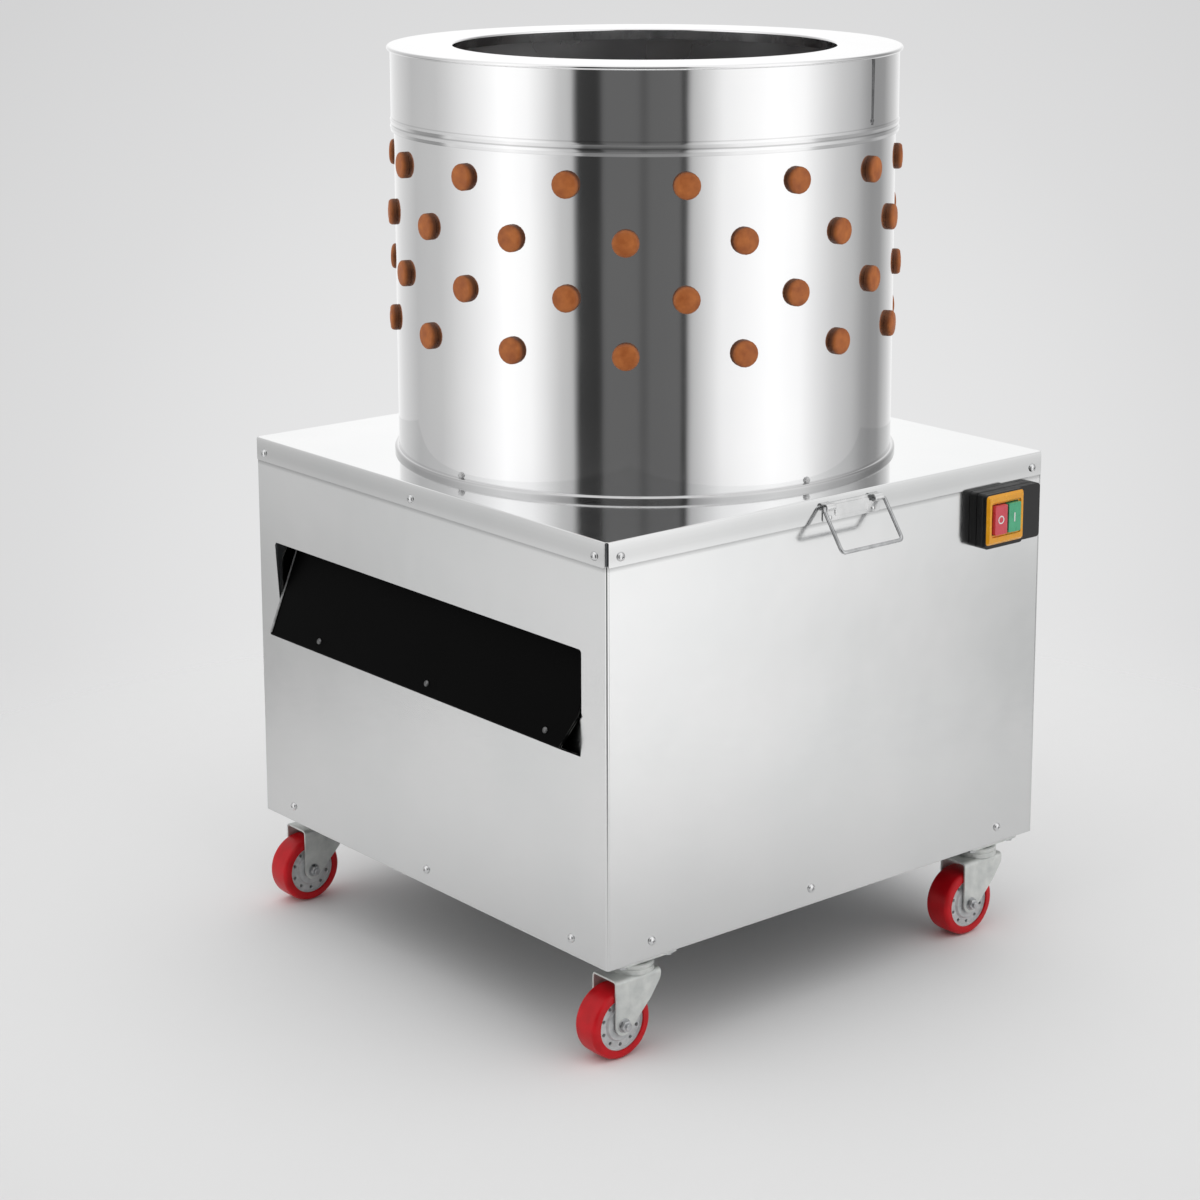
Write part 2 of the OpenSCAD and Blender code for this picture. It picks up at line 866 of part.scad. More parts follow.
module discharge_chute() {
  color("black")
    difference() {
      union() {
        along_x(chute_w)
          chute_section();
        chute_sides();
      }
      at_rivets()
        translate([0, 0, -rivet_d - chute_t])
          cylinder(d = rivet_d + 2 * fit_gap, h = 2 * rivet_d + 2 * chute_t);
    }
}

module at_rivets() {
  for (i = [0 : 2])
    translate([rivet_first + i * rivet_step, chute_lip[0], chute_lip[1]])
      rotate([chute_slope, 0, 0])
        translate([0, rivet_up, 0])
          children();
}

module chute_rivets() {
  color("lightgray")
    at_rivets() {
      cylinder(d1 = rivet_head_d, d2 = rivet_head_d / 2, h = rivet_d / 2);
      translate([0, 0, -chute_t - rivet_d / 2])
        cylinder(d = rivet_d, h = chute_t + rivet_d / 2);
      translate([0, 0, -chute_t - rivet_d / 2])
        cylinder(d = 1.5 * rivet_d, h = rivet_d / 2);
    }
}

module feather_pan() {
  color("gray")
    difference() {
      translate([0, 0, pan_low])
        cylinder(r = pan_out, h = deck_top + pan_rise - pan_low);
      translate([0, 0, pan_floor])
        cylinder(r = pan_in, h = pan_depth + pan_rise + cut);
      translate([0, 0, pan_low - cut])
        cylinder(r = shaft_r + 4 * pan_wall, h = pan_wall + 2 * cut);
      translate([-window_w / 2, -drum_out, pan_floor])
        cube([window_w, drum_out / 2, window_top - pan_floor]);
      at_foot_bolts_of_drum()
        translate([0, 0, -cut])
          cylinder(d = foot_bolt_d + 2 * fit_gap, h = 4 * pan_wall + 2 * cut);
    }
}

// Foot bolts of the drum: +Z runs inwards from the drum's outer face.
module at_foot_bolts_of_drum() {
  for (a = [foot_bolt_a, foot_bolt_b], turn = [0, 180])
    rotate([0, 0, a + turn])
      translate([drum_out, 0, deck_top + foot_bolt_rise])
        rotate([0, -90, 0])
          children();
}

// Places of the drum's fingers: +Z runs inwards from the drum's outer face.
module at_drum_fingers() {
  for (row = [0 : finger_rows - 1], k = [0 : finger_count - 1])
    rotate([0, 0, finger_phase + finger_pitch * (k + (finger_rows - 1 - row) % 2 / 2)])
      translate([drum_out, 0, deck_top + finger_first + row * finger_step])
        rotate([0, -90, 0])
          children();
}

// Places of the turntable's fingers: +Z runs upwards from the plate's underside.
module at_table_fingers() {
  for (ring = table_rings, k = [0 : table_ring_count * (ring + 1) - 1])
    rotate([0, 0, 360 * (k + 0.5) / (table_ring_count * (ring + 1))])
      translate([table_ring_first + ring * table_ring_step, 0, table_low])
        children();
}

module drum_shell() {
  color("whitesmoke")
    difference() {
      union() {
        translate([0, 0, deck_top])
          cylinder(r = drum_out, h = drum_h);
        translate([0, 0, deck_top + foot_bead_d / 2])
          rotate_extrude()
            translate([drum_out + foot_bead_d / 2, 0])
              circle(d = foot_bead_d);
        translate([0, 0, deck_top])
          cylinder(r = drum_out + foot_bead_d / 2, h = foot_bead_d);
      }
      translate([0, 0, deck_top - cut])
        cylinder(r = drum_r, h = drum_h + 2 * cut);
      at_drum_fingers()
        translate([0, 0, -cut])
          cylinder(r = finger_hole_r, h = 4 * drum_wall + cut);
      at_foot_bolts_of_drum()
        translate([0, 0, -foot_bead_d])
          cylinder(d = foot_bolt_d + 2 * fit_gap, h = 4 * drum_wall + foot_bead_d);
      at_foot_bolts_of_drum()
        translate([0, 0, -2 * foot_bead_d])
          cylinder(d = foot_bolt_head_d + 1, h = 2 * foot_bead_d);
    }
}

module drum_collar() {
  color("whitesmoke")
    difference() {
      union() {
        translate([0, 0, drum_top - collar_lap])
          cylinder(r = collar_out, h = collar_lap + collar_h);
        for (i = [-1, 1])
          translate([0, 0, drum_top + i * bead_step / 2])
            rotate_extrude()
              translate([collar_out, 0])
                circle(d = bead_d);
      }
      translate([0, 0, drum_top - collar_lap - cut])
        cylinder(r = drum_out + fit_gap, h = collar_lap + cut);
      translate([0, 0, drum_top - cut])
        cylinder(r = drum_r, h = collar_h + 2 * cut);
      translate([0, 0, drum_top + drum_wall])
        cylinder(r = collar_in, h = collar_h + cut);
    }
}

module rim_ring() {
  color("whitesmoke")
    difference() {
      union() {
        translate([0, 0, rim_low])
          cylinder(r = rim_out - rim_roll_d / 2, h = drum_wall);
        translate([0, 0, rim_top - rim_roll_d / 2])
          rotate_extrude()
            translate([rim_out - rim_roll_d / 2, 0])
              circle(d = rim_roll_d);
        translate([0, 0, rim_low - mouth_turn])
          cylinder(r = mouth_r + drum_wall, h = mouth_turn + drum_wall);
      }
      translate([0, 0, rim_low - mouth_turn - cut])
        cylinder(r = mouth_r, h = mouth_turn + drum_wall + 2 * cut);
      translate([0, 0, rim_low - rim_roll_d])
        difference() {
          cylinder(r = collar_out + fit_gap, h = rim_roll_d);
          translate([0, 0, -cut])
            cylinder(r = mouth_r + drum_wall, h = rim_roll_d + 2 * cut);
        }
    }
}

module drum_bolts() {
  color("dimgray")
    at_foot_bolts_of_drum()
      translate([0, 0, -fit_gap])
        bolt(foot_bolt_d / 2, drum_wall + pan_wall + 2 * run_gap + end_gap,
          foot_bolt_head_d, foot_bolt_head_h);
}

// A rubber finger on +Z: the outer head lies below z = 0 and the sheet that holds it above.
module finger(sheet, sag) {
  head = finger_head_d / 2;
  neck = finger_hole_r - fit_gap;
  flange = sheet + sag;
  stem = flange + finger_flange_h;
  tip = sheet + finger_reach;
  rotate_extrude()
    polygon(concat(
      [[0, -finger_head_h]],
      [for (a = [90 : -30 : 0])
        [head - finger_head_r * (1 - cos(a)), -finger_head_h + finger_head_r * (1 - sin(a))]],
      [[head, -fit_gap], [neck, -fit_gap], [neck, flange]],
      [[finger_flange_d / 2, flange], [finger_flange_d / 2, stem], [finger_root_d / 2, stem]],
      [for (a = [0 : 30 : 90])
        [finger_tip_d / 2 * cos(a), tip - finger_tip_d / 2 * (1 - sin(a))]]
    ));
}

module drum_fingers() {
  color("peru")
    at_drum_fingers()
      finger(drum_wall, finger_sag);
}

module plate_fingers() {
  color("peru")
    at_table_fingers()
      finger(table_t, fit_gap);
}

// The disc lies on a separate boss, which the shaft drives.
module turntable() {
  color("silver")
    difference() {
      union() {
        translate([0, 0, table_low])
          cylinder(r = table_r, h = table_t);
        translate([0, 0, table_low - boss_h])
          cylinder(d = boss_d, h = boss_h - fit_gap);
      }
      translate([0, 0, table_low - boss_h - cut])
        cylinder(r = shaft_r + fit_gap, h = boss_h + table_t + 2 * cut);
      at_table_fingers()
        translate([0, 0, -cut])
          cylinder(r = finger_hole_r, h = table_t + 2 * cut);
    }
}

module hub_cap() {
  color("silver")
    translate([0, 0, table_top])
      difference() {
        union() {
          cylinder(d = cap_d, h = cap_h / 3);
          translate([0, 0, cap_h / 3])
            cylinder(d1 = cap_d, d2 = cap_d / 2, h = 2 * cap_h / 3);
        }
        translate([0, 0, -cut])
          cylinder(r = shaft_r + fit_gap, h = shaft_stand + end_gap + cut);
      }
}

module sweep_paddles() {
  color("silver")
    for (turn = [0, 180])
      rotate([0, 0, turn])
        translate([paddle_from, -paddle_t / 2, pan_floor + paddle_lift])
          cube([drum_r - paddle_gap - paddle_from, paddle_t, table_low - pan_floor - paddle_lift]);
}

module main_shaft() {
  color("lightgray")
    translate([0, 0, pulley_hub_top - pulley_hub_h])
      cylinder(r = shaft_r, h = table_top + shaft_stand - pulley_hub_top + pulley_hub_h);
}

module bearing_housing() {
  color("dimgray")
    difference() {
      union() {
        translate([-housing_flange_w / 2, -housing_flange_w / 2, beam_low - housing_flange_t])
          cube([housing_flange_w, housing_flange_w, housing_flange_t]);
        translate([0, 0, housing_low])
          cylinder(d = housing_d, h = housing_top - housing_low);
      }
      translate([0, 0, housing_low - cut])
        cylinder(r = bearing_r - shoulder, h = housing_top - housing_low + 2 * cut);
      translate([0, 0, housing_low - cut])
        cylinder(r = bearing_r, h = bearing_w + cut);
      translate([0, 0, housing_top - bearing_w])
        cylinder(r = bearing_r, h = bearing_w + cut);
      at_housing_bolts()
        translate([0, 0, -cut])
          cylinder(r = bolt_r + fit_gap, h = housing_flange_t + 2 * cut);
    }
}

module shaft_bearings() {
  color("lightgray")
    for (z = [housing_low, housing_top - bearing_w])
      translate([0, 0, z])
        difference() {
          cylinder(r = bearing_r - fit_gap, h = bearing_w);
          translate([0, 0, -cut])
            cylinder(r = shaft_r + run_gap, h = bearing_w + 2 * cut);
        }
}

// Section of the V-groove about the belt's pitch radius, drawn in (r, z) and widened by a gap.
module belt_section(r, gap) {
  polygon([
    [r - belt_h / 2 - gap, -belt_low - gap],
    [r + belt_h / 2 + gap, -belt_w / 2 - gap],
    [r + belt_h / 2 + gap, belt_w / 2 + gap],
    [r - belt_h / 2 - gap, belt_low + gap]
  ]);
}

// Cuts the V-groove into a pulley of the given pitch radius, centred on z = 0.
module groove_cut(r) {
  rotate_extrude() {
    belt_section(r, belt_gap);
    translate([r + belt_h / 2, -belt_w / 2 - belt_gap])
      square([belt_h, belt_w + 2 * belt_gap]);
  }
}

module driven_pulley() {
  rim = driven_r + belt_h / 2 + 1;
  inner = driven_r - 2 * belt_h;
  color("dimgray")
    translate([0, 0, belt_z])
      difference() {
        union() {
          translate([0, 0, -pulley_w / 2])
            cylinder(r = rim, h = pulley_w);
          translate([0, 0, -pulley_hub_h / 2])
            cylinder(d = pulley_hub_d, h = pulley_hub_h);
        }
        for (side = [-1, 1])
          translate([0, 0, side * (pulley_w + web_t) / 2 - pulley_w / 2])
            difference() {
              cylinder(r = inner, h = pulley_w);
              cylinder(d = pulley_hub_d, h = pulley_w);
            }
        groove_cut(driven_r);
        translate([0, 0, -pulley_hub_h / 2 - cut])
          cylinder(r = shaft_r + fit_gap, h = pulley_hub_h + 2 * cut);
      }
}

module motor_pulley() {
  color("dimgray")
    translate([0, belt_centres, belt_z])
      difference() {
        translate([0, 0, -pulley_w / 2])
          cylinder(r = motor_pulley_r + belt_h / 2 + 1, h = pulley_w);
        groove_cut(motor_pulley_r);
        translate([0, 0, -pulley_w / 2 - cut])
          cylinder(r = motor_shaft_r + fit_gap, h = pulley_w + 2 * cut);
      }
}

// Points of an arc about c, in the plane of the belt.
function belt_arc(c, r, from, to) =
  [for (i = [0 : belt_steps])
    c + r * [cos(from + (to - from) * i / belt_steps), sin(from + (to - from) * i / belt_steps)]];

// A closed path round both pulleys, at a distance from the belt's pitch line.
function belt_path(off) = concat(
  belt_arc([0, 0], driven_r + off, 180 - belt_lean, 360 + belt_lean),
  belt_arc([0, belt_centres], motor_pulley_r + off, belt_lean, 180 - belt_lean)
);

module drive_belt() {
  color("black")
    translate([0, 0, belt_z])
      linear_extrude(2 * belt_low, center = true)
        difference() {
          polygon(belt_path(belt_h / 2));
          polygon(belt_path(-belt_h / 2));
        }
}

module motor_shaft() {
  color("lightgray")
    translate([0, belt_centres, motor_low - fan_h / 2])
      cylinder(r = motor_shaft_r, h = belt_z + pulley_w / 2 - motor_low + fan_h / 2);
}

module motor_body() {
  color("steelblue")
    translate([0, belt_centres, 0])
      difference() {
        union() {
          translate([0, 0, motor_low])
            cylinder(d = motor_d, h = motor_h);
          translate([-foot_w / 2, motor_plate_front - belt_centres - foot_t, motor_mid - foot_h / 2])
            cube([foot_w, foot_t, foot_h]);
          translate([-foot_w / 5, 0, motor_mid - foot_h / 2])
            cube([2 * foot_w / 5, motor_plate_front - belt_centres, foot_h]);
          translate([-motor_d / 2 - 2, -terminal_w / 3, motor_mid - terminal_h / 3])
            cube([motor_d + 4, 2 * terminal_w / 3, 2 * terminal_h / 3]);
        }
        translate([0, 0, motor_low - cut])
          cylinder(r = motor_shaft_r + run_gap, h = motor_h + 2 * cut);
        translate([0, -belt_centres, 0])
          at_foot_bolts()
            translate([0, 0, -cut])
              cylinder(r = bolt_r + fit_gap, h = foot_t + 2 * cut);
      }
}

module fan_cover() {
  color("steelblue")
    translate([0, belt_centres, motor_low - fan_h])
      difference() {
        cylinder(d = motor_d - 4, h = fan_h);
        translate([0, 0, fan_wall])
          cylinder(d = motor_d - 4 - 2 * fan_wall, h = fan_h);
        for (a = [0 : 30 : 330])
          rotate([0, 0, a])
            translate([motor_d / 4, 0, -cut])
              cylinder(d = fan_h / 3, h = fan_wall + 2 * cut);
      }
}

module terminal_box() {
  color("steelblue")
    translate([motor_d / 2 + 2, belt_centres - terminal_w / 2, motor_mid - terminal_h / 2])
      cube([terminal_d, terminal_w, terminal_h]);
}

module capacitor() {
  color("darkslategray")
    translate([-motor_d / 2 - 2 - capacitor_d / 2 - fit_gap, belt_centres, motor_mid - capacitor_h / 2])
      cylinder(d = capacitor_d, h = capacitor_h);
}

module motor_plate() {
  color("slategray")
    difference() {
      translate([-motor_plate_w / 2, motor_plate_front, motor_mid - motor_plate_h / 2])
        cube([motor_plate_w, motor_plate_t, motor_plate_h]);
      at_plate_bolts()
        translate([0, 0, -cut])
          cylinder(r = bolt_r + fit_gap, h = motor_plate_t + 2 * cut);
      at_foot_bolts()
        translate([0, 0, -cut])
          cylinder(r = bolt_r + fit_gap, h = foot_t + motor_plate_t + 2 * cut);
    }
}

module frame_bolts() {
  color("lightgray") {
    at_castor_bolts()
      bolt(bolt_r, castor_plate_t + pad_t, bolt_head_d, bolt_head_h);
    at_housing_bolts()
      bolt(bolt_r, housing_flange_t + beam_wall, bolt_head_d, bolt_head_h);
    at_plate_bolts() {
      translate([0, 0, -bolt_head_h])
        cylinder(d = bolt_head_d, h = bolt_head_h, $fn = 6);
      cylinder(r = bolt_r, h = motor_plate_t + motor_bar_d - angle_t);
    }
    at_foot_bolts()
      bolt(bolt_r, foot_t + motor_plate_t, bolt_head_d, bolt_head_h);
  }
}

// Stands a section drawn in (y, z) out of the right-hand face, from x over the given depth.
module out_of_side(x, d) {
  translate([x, 0, 0])
    rotate([90, 0, 90])
      linear_extrude(d)
        children();
}

// The two button openings, in (y, z), widened by a gap.
module button_outline(place, gap) {
  translate([plate_y + place * button_step / 2, plate_z])
    square([button_w + 2 * gap, button_h + 2 * gap], center = true);
}

module switch_box() {
  color("black")
    difference() {
      out_of_side(panel_out, switch_d)
        translate([switch_y, switch_z])
          round_rect(switch_w, switch_h, switch_r);
      out_of_side(panel_out - cut, switch_d - switch_wall + cut)
        translate([switch_y, switch_z])
          square([switch_w - 2 * switch_wall, switch_h - 2 * switch_wall], center = true);
      for (place = [-1, 1])
        out_of_side(panel_out, switch_d + cut)
          button_outline(place, button_gap);
    }
}

module switch_plate() {
  color("gold")
    difference() {
      out_of_side(switch_front, plate_t)
        translate([plate_y, plate_z])
          round_rect(plate_w, plate_h, switch_r / 2);
      for (place = [-1, 1])
        out_of_side(switch_front - cut, plate_t + 2 * cut)
          button_outline(place, button_gap);
    }
}

module push_button(place) {
  out_of_side(button_back - button_collar_t / 2, button_front - button_back + button_collar_t / 2)
    button_outline(place, 0);
  out_of_side(button_back - button_collar_t, button_collar_t)
    button_outline(place, button_collar_w);
}

module stop_button() {
  color("red")
    push_button(-1);
}

module start_button() {
  color("green")
    push_button(1);
}

module cable_gland() {
  color("black")
    translate([gland_x, panel_out, gland_z])
      rotate([-90, 0, 0])
        difference() {
          union() {
            cylinder(d = gland_nut_d, h = gland_nut_t, $fn = 6);
            cylinder(d = gland_d, h = gland_out);
            translate([0, 0, gland_nut_t])
              cylinder(d1 = gland_nut_d - 4, d2 = gland_d - 4, h = gland_out - gland_nut_t);
            translate([0, 0, -sheet_t - gland_in])
              cylinder(d = gland_d, h = gland_in + sheet_t);
            translate([0, 0, -sheet_t - gland_nut_t])
              cylinder(d = gland_nut_d, h = gland_nut_t, $fn = 6);
          }
          translate([0, 0, -sheet_t - gland_in - cut])
            cylinder(d = gland_bore_d, h = gland_out + gland_in + sheet_t + 2 * cut);
        }
}

// A cylinder along Y, centred on the hinge axis of the right-hand handle.
module hinge_bar(r, l) {
  translate([hinge_x, 0, hinge_z])
    rotate([90, 0, 0])
      cylinder(r = r, h = l, center = true);
}

module handle_plate() {
  color("gainsboro")
    translate([0, handle_y, 0])
      difference() {
        union() {
          translate([half, -bracket_w / 2, hinge_z - bracket_h + knuckle_d / 2])
            cube([bracket_t, bracket_w, bracket_h]);
          for (side = [-1, 1])
            translate([0, side * (bracket_w - knuckle_l) / 2, 0])
              hinge_bar(knuckle_d / 2, knuckle_l);
        }
        hinge_bar(wire_r + run_gap, 2 * bail_w);
      }
}

// The bail hangs from its hinge along -Z, and is then swung out from the panel.
module handle_bail() {
  color("silver")
    translate([hinge_x, handle_y, hinge_z])
      rotate([0, -bail_angle, 0]) {
        for (side = [-1, 1]) {
          translate([0, side * bail_w / 2, 0])
            rotate([side * 90, 0, 0])
              cylinder(r = wire_r, h = bail_end);
          translate([0, side * bail_w / 2, -bail_l])
            cylinder(r = wire_r, h = bail_l);
          for (z = [0, -bail_l])
            translate([0, side * bail_w / 2, z])
              sphere(r = wire_r);
        }
        translate([0, 0, -bail_l])
          rotate([90, 0, 0])
            cylinder(r = wire_r, h = bail_w, center = true);
      }
}

module handle_plate_right() {
  handle_plate();
}

module handle_bail_right() {
  handle_bail();
}

module handle_plate_left() {
  mirror([1, 0, 0])
    handle_plate();
}

module handle_bail_left() {
  mirror([1, 0, 0])
    handle_bail();
}

module castor_plates() {
  color("lightgray")
    for (c = castors)
      translate([c[0], c[1], 0])
        difference() {
          union() {
            translate([-castor_plate_w / 2, -plate_l / 2, castor_plate_low])
              cube([castor_plate_w, plate_l, castor_plate_t]);
            translate([0, 0, race_low])
              cylinder(d = race_d - 4, h = castor_plate_low - race_low);
            translate([0, 0, kingpin_low])
              cylinder(d = kingpin_d, h = castor_plate_low - kingpin_low);
            translate([0, 0, kingpin_low - kingpin_head_h])
              cylinder(d = 1.6 * kingpin_d, h = kingpin_head_h);
          }
          translate([-c[0], -c[1], 0])
            at_castor_bolts()
              translate([0, 0, -cut])
                cylinder(r = bolt_r + fit_gap, h = castor_plate_t + 2 * cut);
        }
}

// One side of the fork, drawn in (y, z): it narrows from the crown to the axle's eye.
module fork_outline() {
  polygon([
    [-castor_trail - fork_eye_r, wheel_r],
    [-castor_trail - fork_eye_r, crown_top],
    [fork_back, crown_top],
    [fork_back, crown_low - 2 * fork_t],
    [fork_back / 2, (crown_low + wheel_r) / 2],
    [-castor_trail + fork_eye_r * cos(45), wheel_r - fork_eye_r * sin(45)]
  ]);
  translate([-castor_trail, wheel_r])
    circle(r = fork_eye_r);
}

module fork(c) {
  color("silver")
    translate([c[0], c[1], 0])
      difference() {
        union() {
          for (x = [-fork_out, fork_in])
            translate([x, 0, 0])
              rotate([90, 0, 90])
                linear_extrude(fork_t)
                  fork_outline();
          translate([-fork_out, -castor_trail - fork_eye_r, crown_low])
            cube([2 * fork_out, castor_trail + fork_eye_r + fork_back, crown_top - crown_low]);
          translate([0, 0, crown_low])
            cylinder(d = race_d, h = fork_top - crown_low);
        }
        translate([0, 0, crown_low - cut])
          cylinder(r = kingpin_d / 2 + run_gap, h = fork_top - crown_low + 2 * cut);
        translate([0, -castor_trail, wheel_r])
          rotate([0, 90, 0])
            cylinder(r = axle_r + fit_gap, h = 4 * fork_out, center = true);
      }
}

// Places a piece made along X on the axle of a castor.
module on_axle(c) {
  translate([c[0], c[1] - castor_trail, wheel_r])
    rotate([0, 90, 0])
      children();
}

module axle(c) {
  color("lightgray")
    on_axle(c)
      translate([0, 0, -fork_out])
        bolt(axle_r, 2 * fork_out, 1.75 * axle_d, 0.65 * axle_d);
}

module tread(c) {
  color("firebrick")
    on_axle(c)
      rotate_extrude()
        difference() {
          translate([wheel_r / 2, 0])
            round_rect(wheel_r, wheel_w, tread_r);
          translate([-wheel_r, -wheel_w])
            square([wheel_r + hub_r + fit_gap, 2 * wheel_w]);
        }
}

module hub(c) {
  color("gray")
    on_axle(c)
      difference() {
        union() {
          cylinder(r = hub_r, h = wheel_w - 2 * hub_recess, center = true);
          cylinder(d = hub_boss_d, h = wheel_w + 2 * end_gap, center = true);
        }
        cylinder(r = axle_r + run_gap, h = 2 * wheel_w, center = true);
        for (k = [0 : hub_holes - 1])
          rotate([0, 0, 360 * k / hub_holes])
            translate([hub_r - hub_hole_d, 0, 0])
              cylinder(d = hub_hole_d, h = 2 * wheel_w, center = true);
      }
}

frame_posts();
frame_rails();
cross_beams();
deck_plate();
front_panel();
right_panel();
back_panel();
left_panel();
cabinet_screws();
discharge_chute();
chute_rivets();
feather_pan();
drum_shell();
drum_collar();
rim_ring();
drum_bolts();
drum_fingers();
turntable();
plate_fingers();
hub_cap();
sweep_paddles();
main_shaft();
bearing_housing();
shaft_bearings();
driven_pulley();
drive_belt();
motor_pulley();
motor_shaft();
motor_body();
fan_cover();
terminal_box();
capacitor();
motor_plate();
frame_bolts();
switch_box();
switch_plate();
stop_button();
start_button();
cable_gland();
handle_plate_right();
handle_bail_right();
handle_plate_left();
handle_bail_left();
castor_plates();
fork(front_left);  // fork_front_left
fork(front_right);  // fork_front_right
fork(back_left);  // fork_back_left
fork(back_right);  // fork_back_right
axle(front_left);  // axle_front_left
axle(front_right);  // axle_front_right
axle(back_left);  // axle_back_left
axle(back_right);  // axle_back_right
tread(front_left);  // tread_front_left
tread(front_right);  // tread_front_right
tread(back_left);  // tread_back_left
tread(back_right);  // tread_back_right
hub(front_left);  // hub_front_left
hub(front_right);  // hub_front_right
hub(back_left);  // hub_back_left
hub(back_right);  // hub_back_right
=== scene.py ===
import math

import bmesh
import bpy
from mathutils import Matrix, Vector


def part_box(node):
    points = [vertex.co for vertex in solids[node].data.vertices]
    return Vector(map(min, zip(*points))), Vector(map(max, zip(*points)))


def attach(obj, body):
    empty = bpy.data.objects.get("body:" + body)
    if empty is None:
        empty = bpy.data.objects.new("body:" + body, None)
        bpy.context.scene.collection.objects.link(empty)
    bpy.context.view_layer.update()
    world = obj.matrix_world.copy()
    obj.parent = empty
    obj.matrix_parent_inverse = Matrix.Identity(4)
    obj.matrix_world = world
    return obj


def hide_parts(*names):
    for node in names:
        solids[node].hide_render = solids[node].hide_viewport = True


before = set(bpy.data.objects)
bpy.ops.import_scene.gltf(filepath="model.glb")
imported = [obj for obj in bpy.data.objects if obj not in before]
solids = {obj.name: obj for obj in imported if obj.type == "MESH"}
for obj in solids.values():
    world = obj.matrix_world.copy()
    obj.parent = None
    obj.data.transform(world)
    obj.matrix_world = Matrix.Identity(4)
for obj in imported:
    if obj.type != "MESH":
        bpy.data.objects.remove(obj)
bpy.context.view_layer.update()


# Frame of the cabinet: angle posts and rails, box beams and a motor plate of mild steel, sawn, welded
# square and sprayed satin grey. Zinc-plated hexagon bolts hold the castors, the bearings and the motor.
def tone(red, green, blue):
    """A colour as read off a screen, 0 to 255, turned into the linear colour that a shader takes."""
    linear = [((v / 255 + 0.055) / 1.055) ** 2.4 if v > 10 else v / 3294.6 for v in (red, green, blue)]
    return (*linear, 1)


def put(tree, kind, takes=None, **settings):
    """Adds a shader node with its settings. Each input takes a value or the output of another node."""
    made = tree.nodes.new("ShaderNode" + kind)
    for key, value in settings.items():
        setattr(made, key, value)
    for key, value in (takes or {}).items():
        if isinstance(value, bpy.types.NodeSocket):
            tree.links.new(value, made.inputs[key])
        else:
            made.inputs[key].default_value = value
    return made.outputs


def ramp(tree, reading, stops):
    """Colours that follow a reading from 0 to 1, by stops of (reading, colour) that start at 0."""
    shades = tree.nodes.new("ShaderNodeValToRGB")
    row = shades.color_ramp.elements
    row.remove(row[-1])
    for k, (place, colour) in enumerate(stops):
        stop = row[0] if k == 0 else row.new(place)
        stop.color = colour
    tree.links.new(reading, shades.inputs["Fac"])
    return shades.outputs["Color"]


def effect(name, takes, gives):
    """An empty shader node group with its named sockets."""
    tree = bpy.data.node_groups.new(name, "ShaderNodeTree")
    for way, sockets in (("INPUT", takes), ("OUTPUT", gives)):
        for label, kind in sockets.items():
            tree.interface.new_socket(label, in_out=way, socket_type="NodeSocket" + kind)
    return tree, tree.nodes.new("NodeGroupInput").outputs, tree.nodes.new("NodeGroupOutput").inputs


mottle, taken, given = effect("soft_mottle", {"Vector": "Vector", "Scale": "Float"}, {"Value": "Float"})
cloud = put(mottle, "TexNoise", {"Vector": taken["Vector"], "Scale": taken["Scale"], "Detail": 4})
level = put(mottle, "MapRange", {"Value": cloud["Fac"], "From Min": 0.3, "From Max": 0.7})
mottle.links.new(level["Result"], given["Value"])

grain, taken, given = effect("fine_grain", {"Vector": "Vector", "Stretch": "Vector"}, {"Value": "Float"})
pull = put(grain, "VectorMath", {0: taken["Vector"], 1: taken["Stretch"]}, operation="MULTIPLY")
cloud = put(grain, "TexNoise", {"Vector": pull["Vector"], "Scale": 1, "Detail": 3})
grain.links.new(cloud["Fac"], given["Value"])

# Edge mask: where edges take a lighter tone, as rubbed-bare wear on some finishes and as a painted highlight
# on the black chute.
edge_wear_and_highlight_group, taken, given = effect("edges_worn_and_highlit", {"Vector": "Vector", "Radius": "Float"}, {"Mask": "Float"})
soft_edge = put(edge_wear_and_highlight_group, "Bevel", {"Radius": taken["Radius"]})
true_face = put(edge_wear_and_highlight_group, "NewGeometry")
agree = put(edge_wear_and_highlight_group, "VectorMath", {0: soft_edge["Normal"], 1: true_face["Normal"]}, operation="DOT_PRODUCT")
sharp = put(edge_wear_and_highlight_group, "MapRange", {"Value": agree["Value"], "From Min": 0.985, "From Max": 0.86})
patchy = put(edge_wear_and_highlight_group, "TexNoise", {"Vector": taken["Vector"], "Scale": 90, "Detail": 3})
broken = put(edge_wear_and_highlight_group, "MapRange", {"Value": patchy["Fac"], "From Min": 0.42, "From Max": 0.62})
both = put(edge_wear_and_highlight_group, "Math", {0: sharp["Result"], 1: broken["Result"]}, operation="MULTIPLY")
edge_wear_and_highlight_group.links.new(both["Value"], given["Mask"])

where, taken, given = effect("whereabouts", {"Vector": "Vector"}, {"Height": "Float", "Radius": "Float"})
apart = put(where, "SeparateXYZ", {"Vector": taken["Vector"]})
plan = put(where, "CombineXYZ", {"X": apart["X"], "Y": apart["Y"]})
reach = put(where, "VectorMath", {0: plan["Vector"]}, operation="LENGTH")
where.links.new(apart["Z"], given["Height"])
where.links.new(reach["Value"], given["Radius"])


def grey(value):
    """A grey as a shader takes it."""
    return (value, value, value, 1)


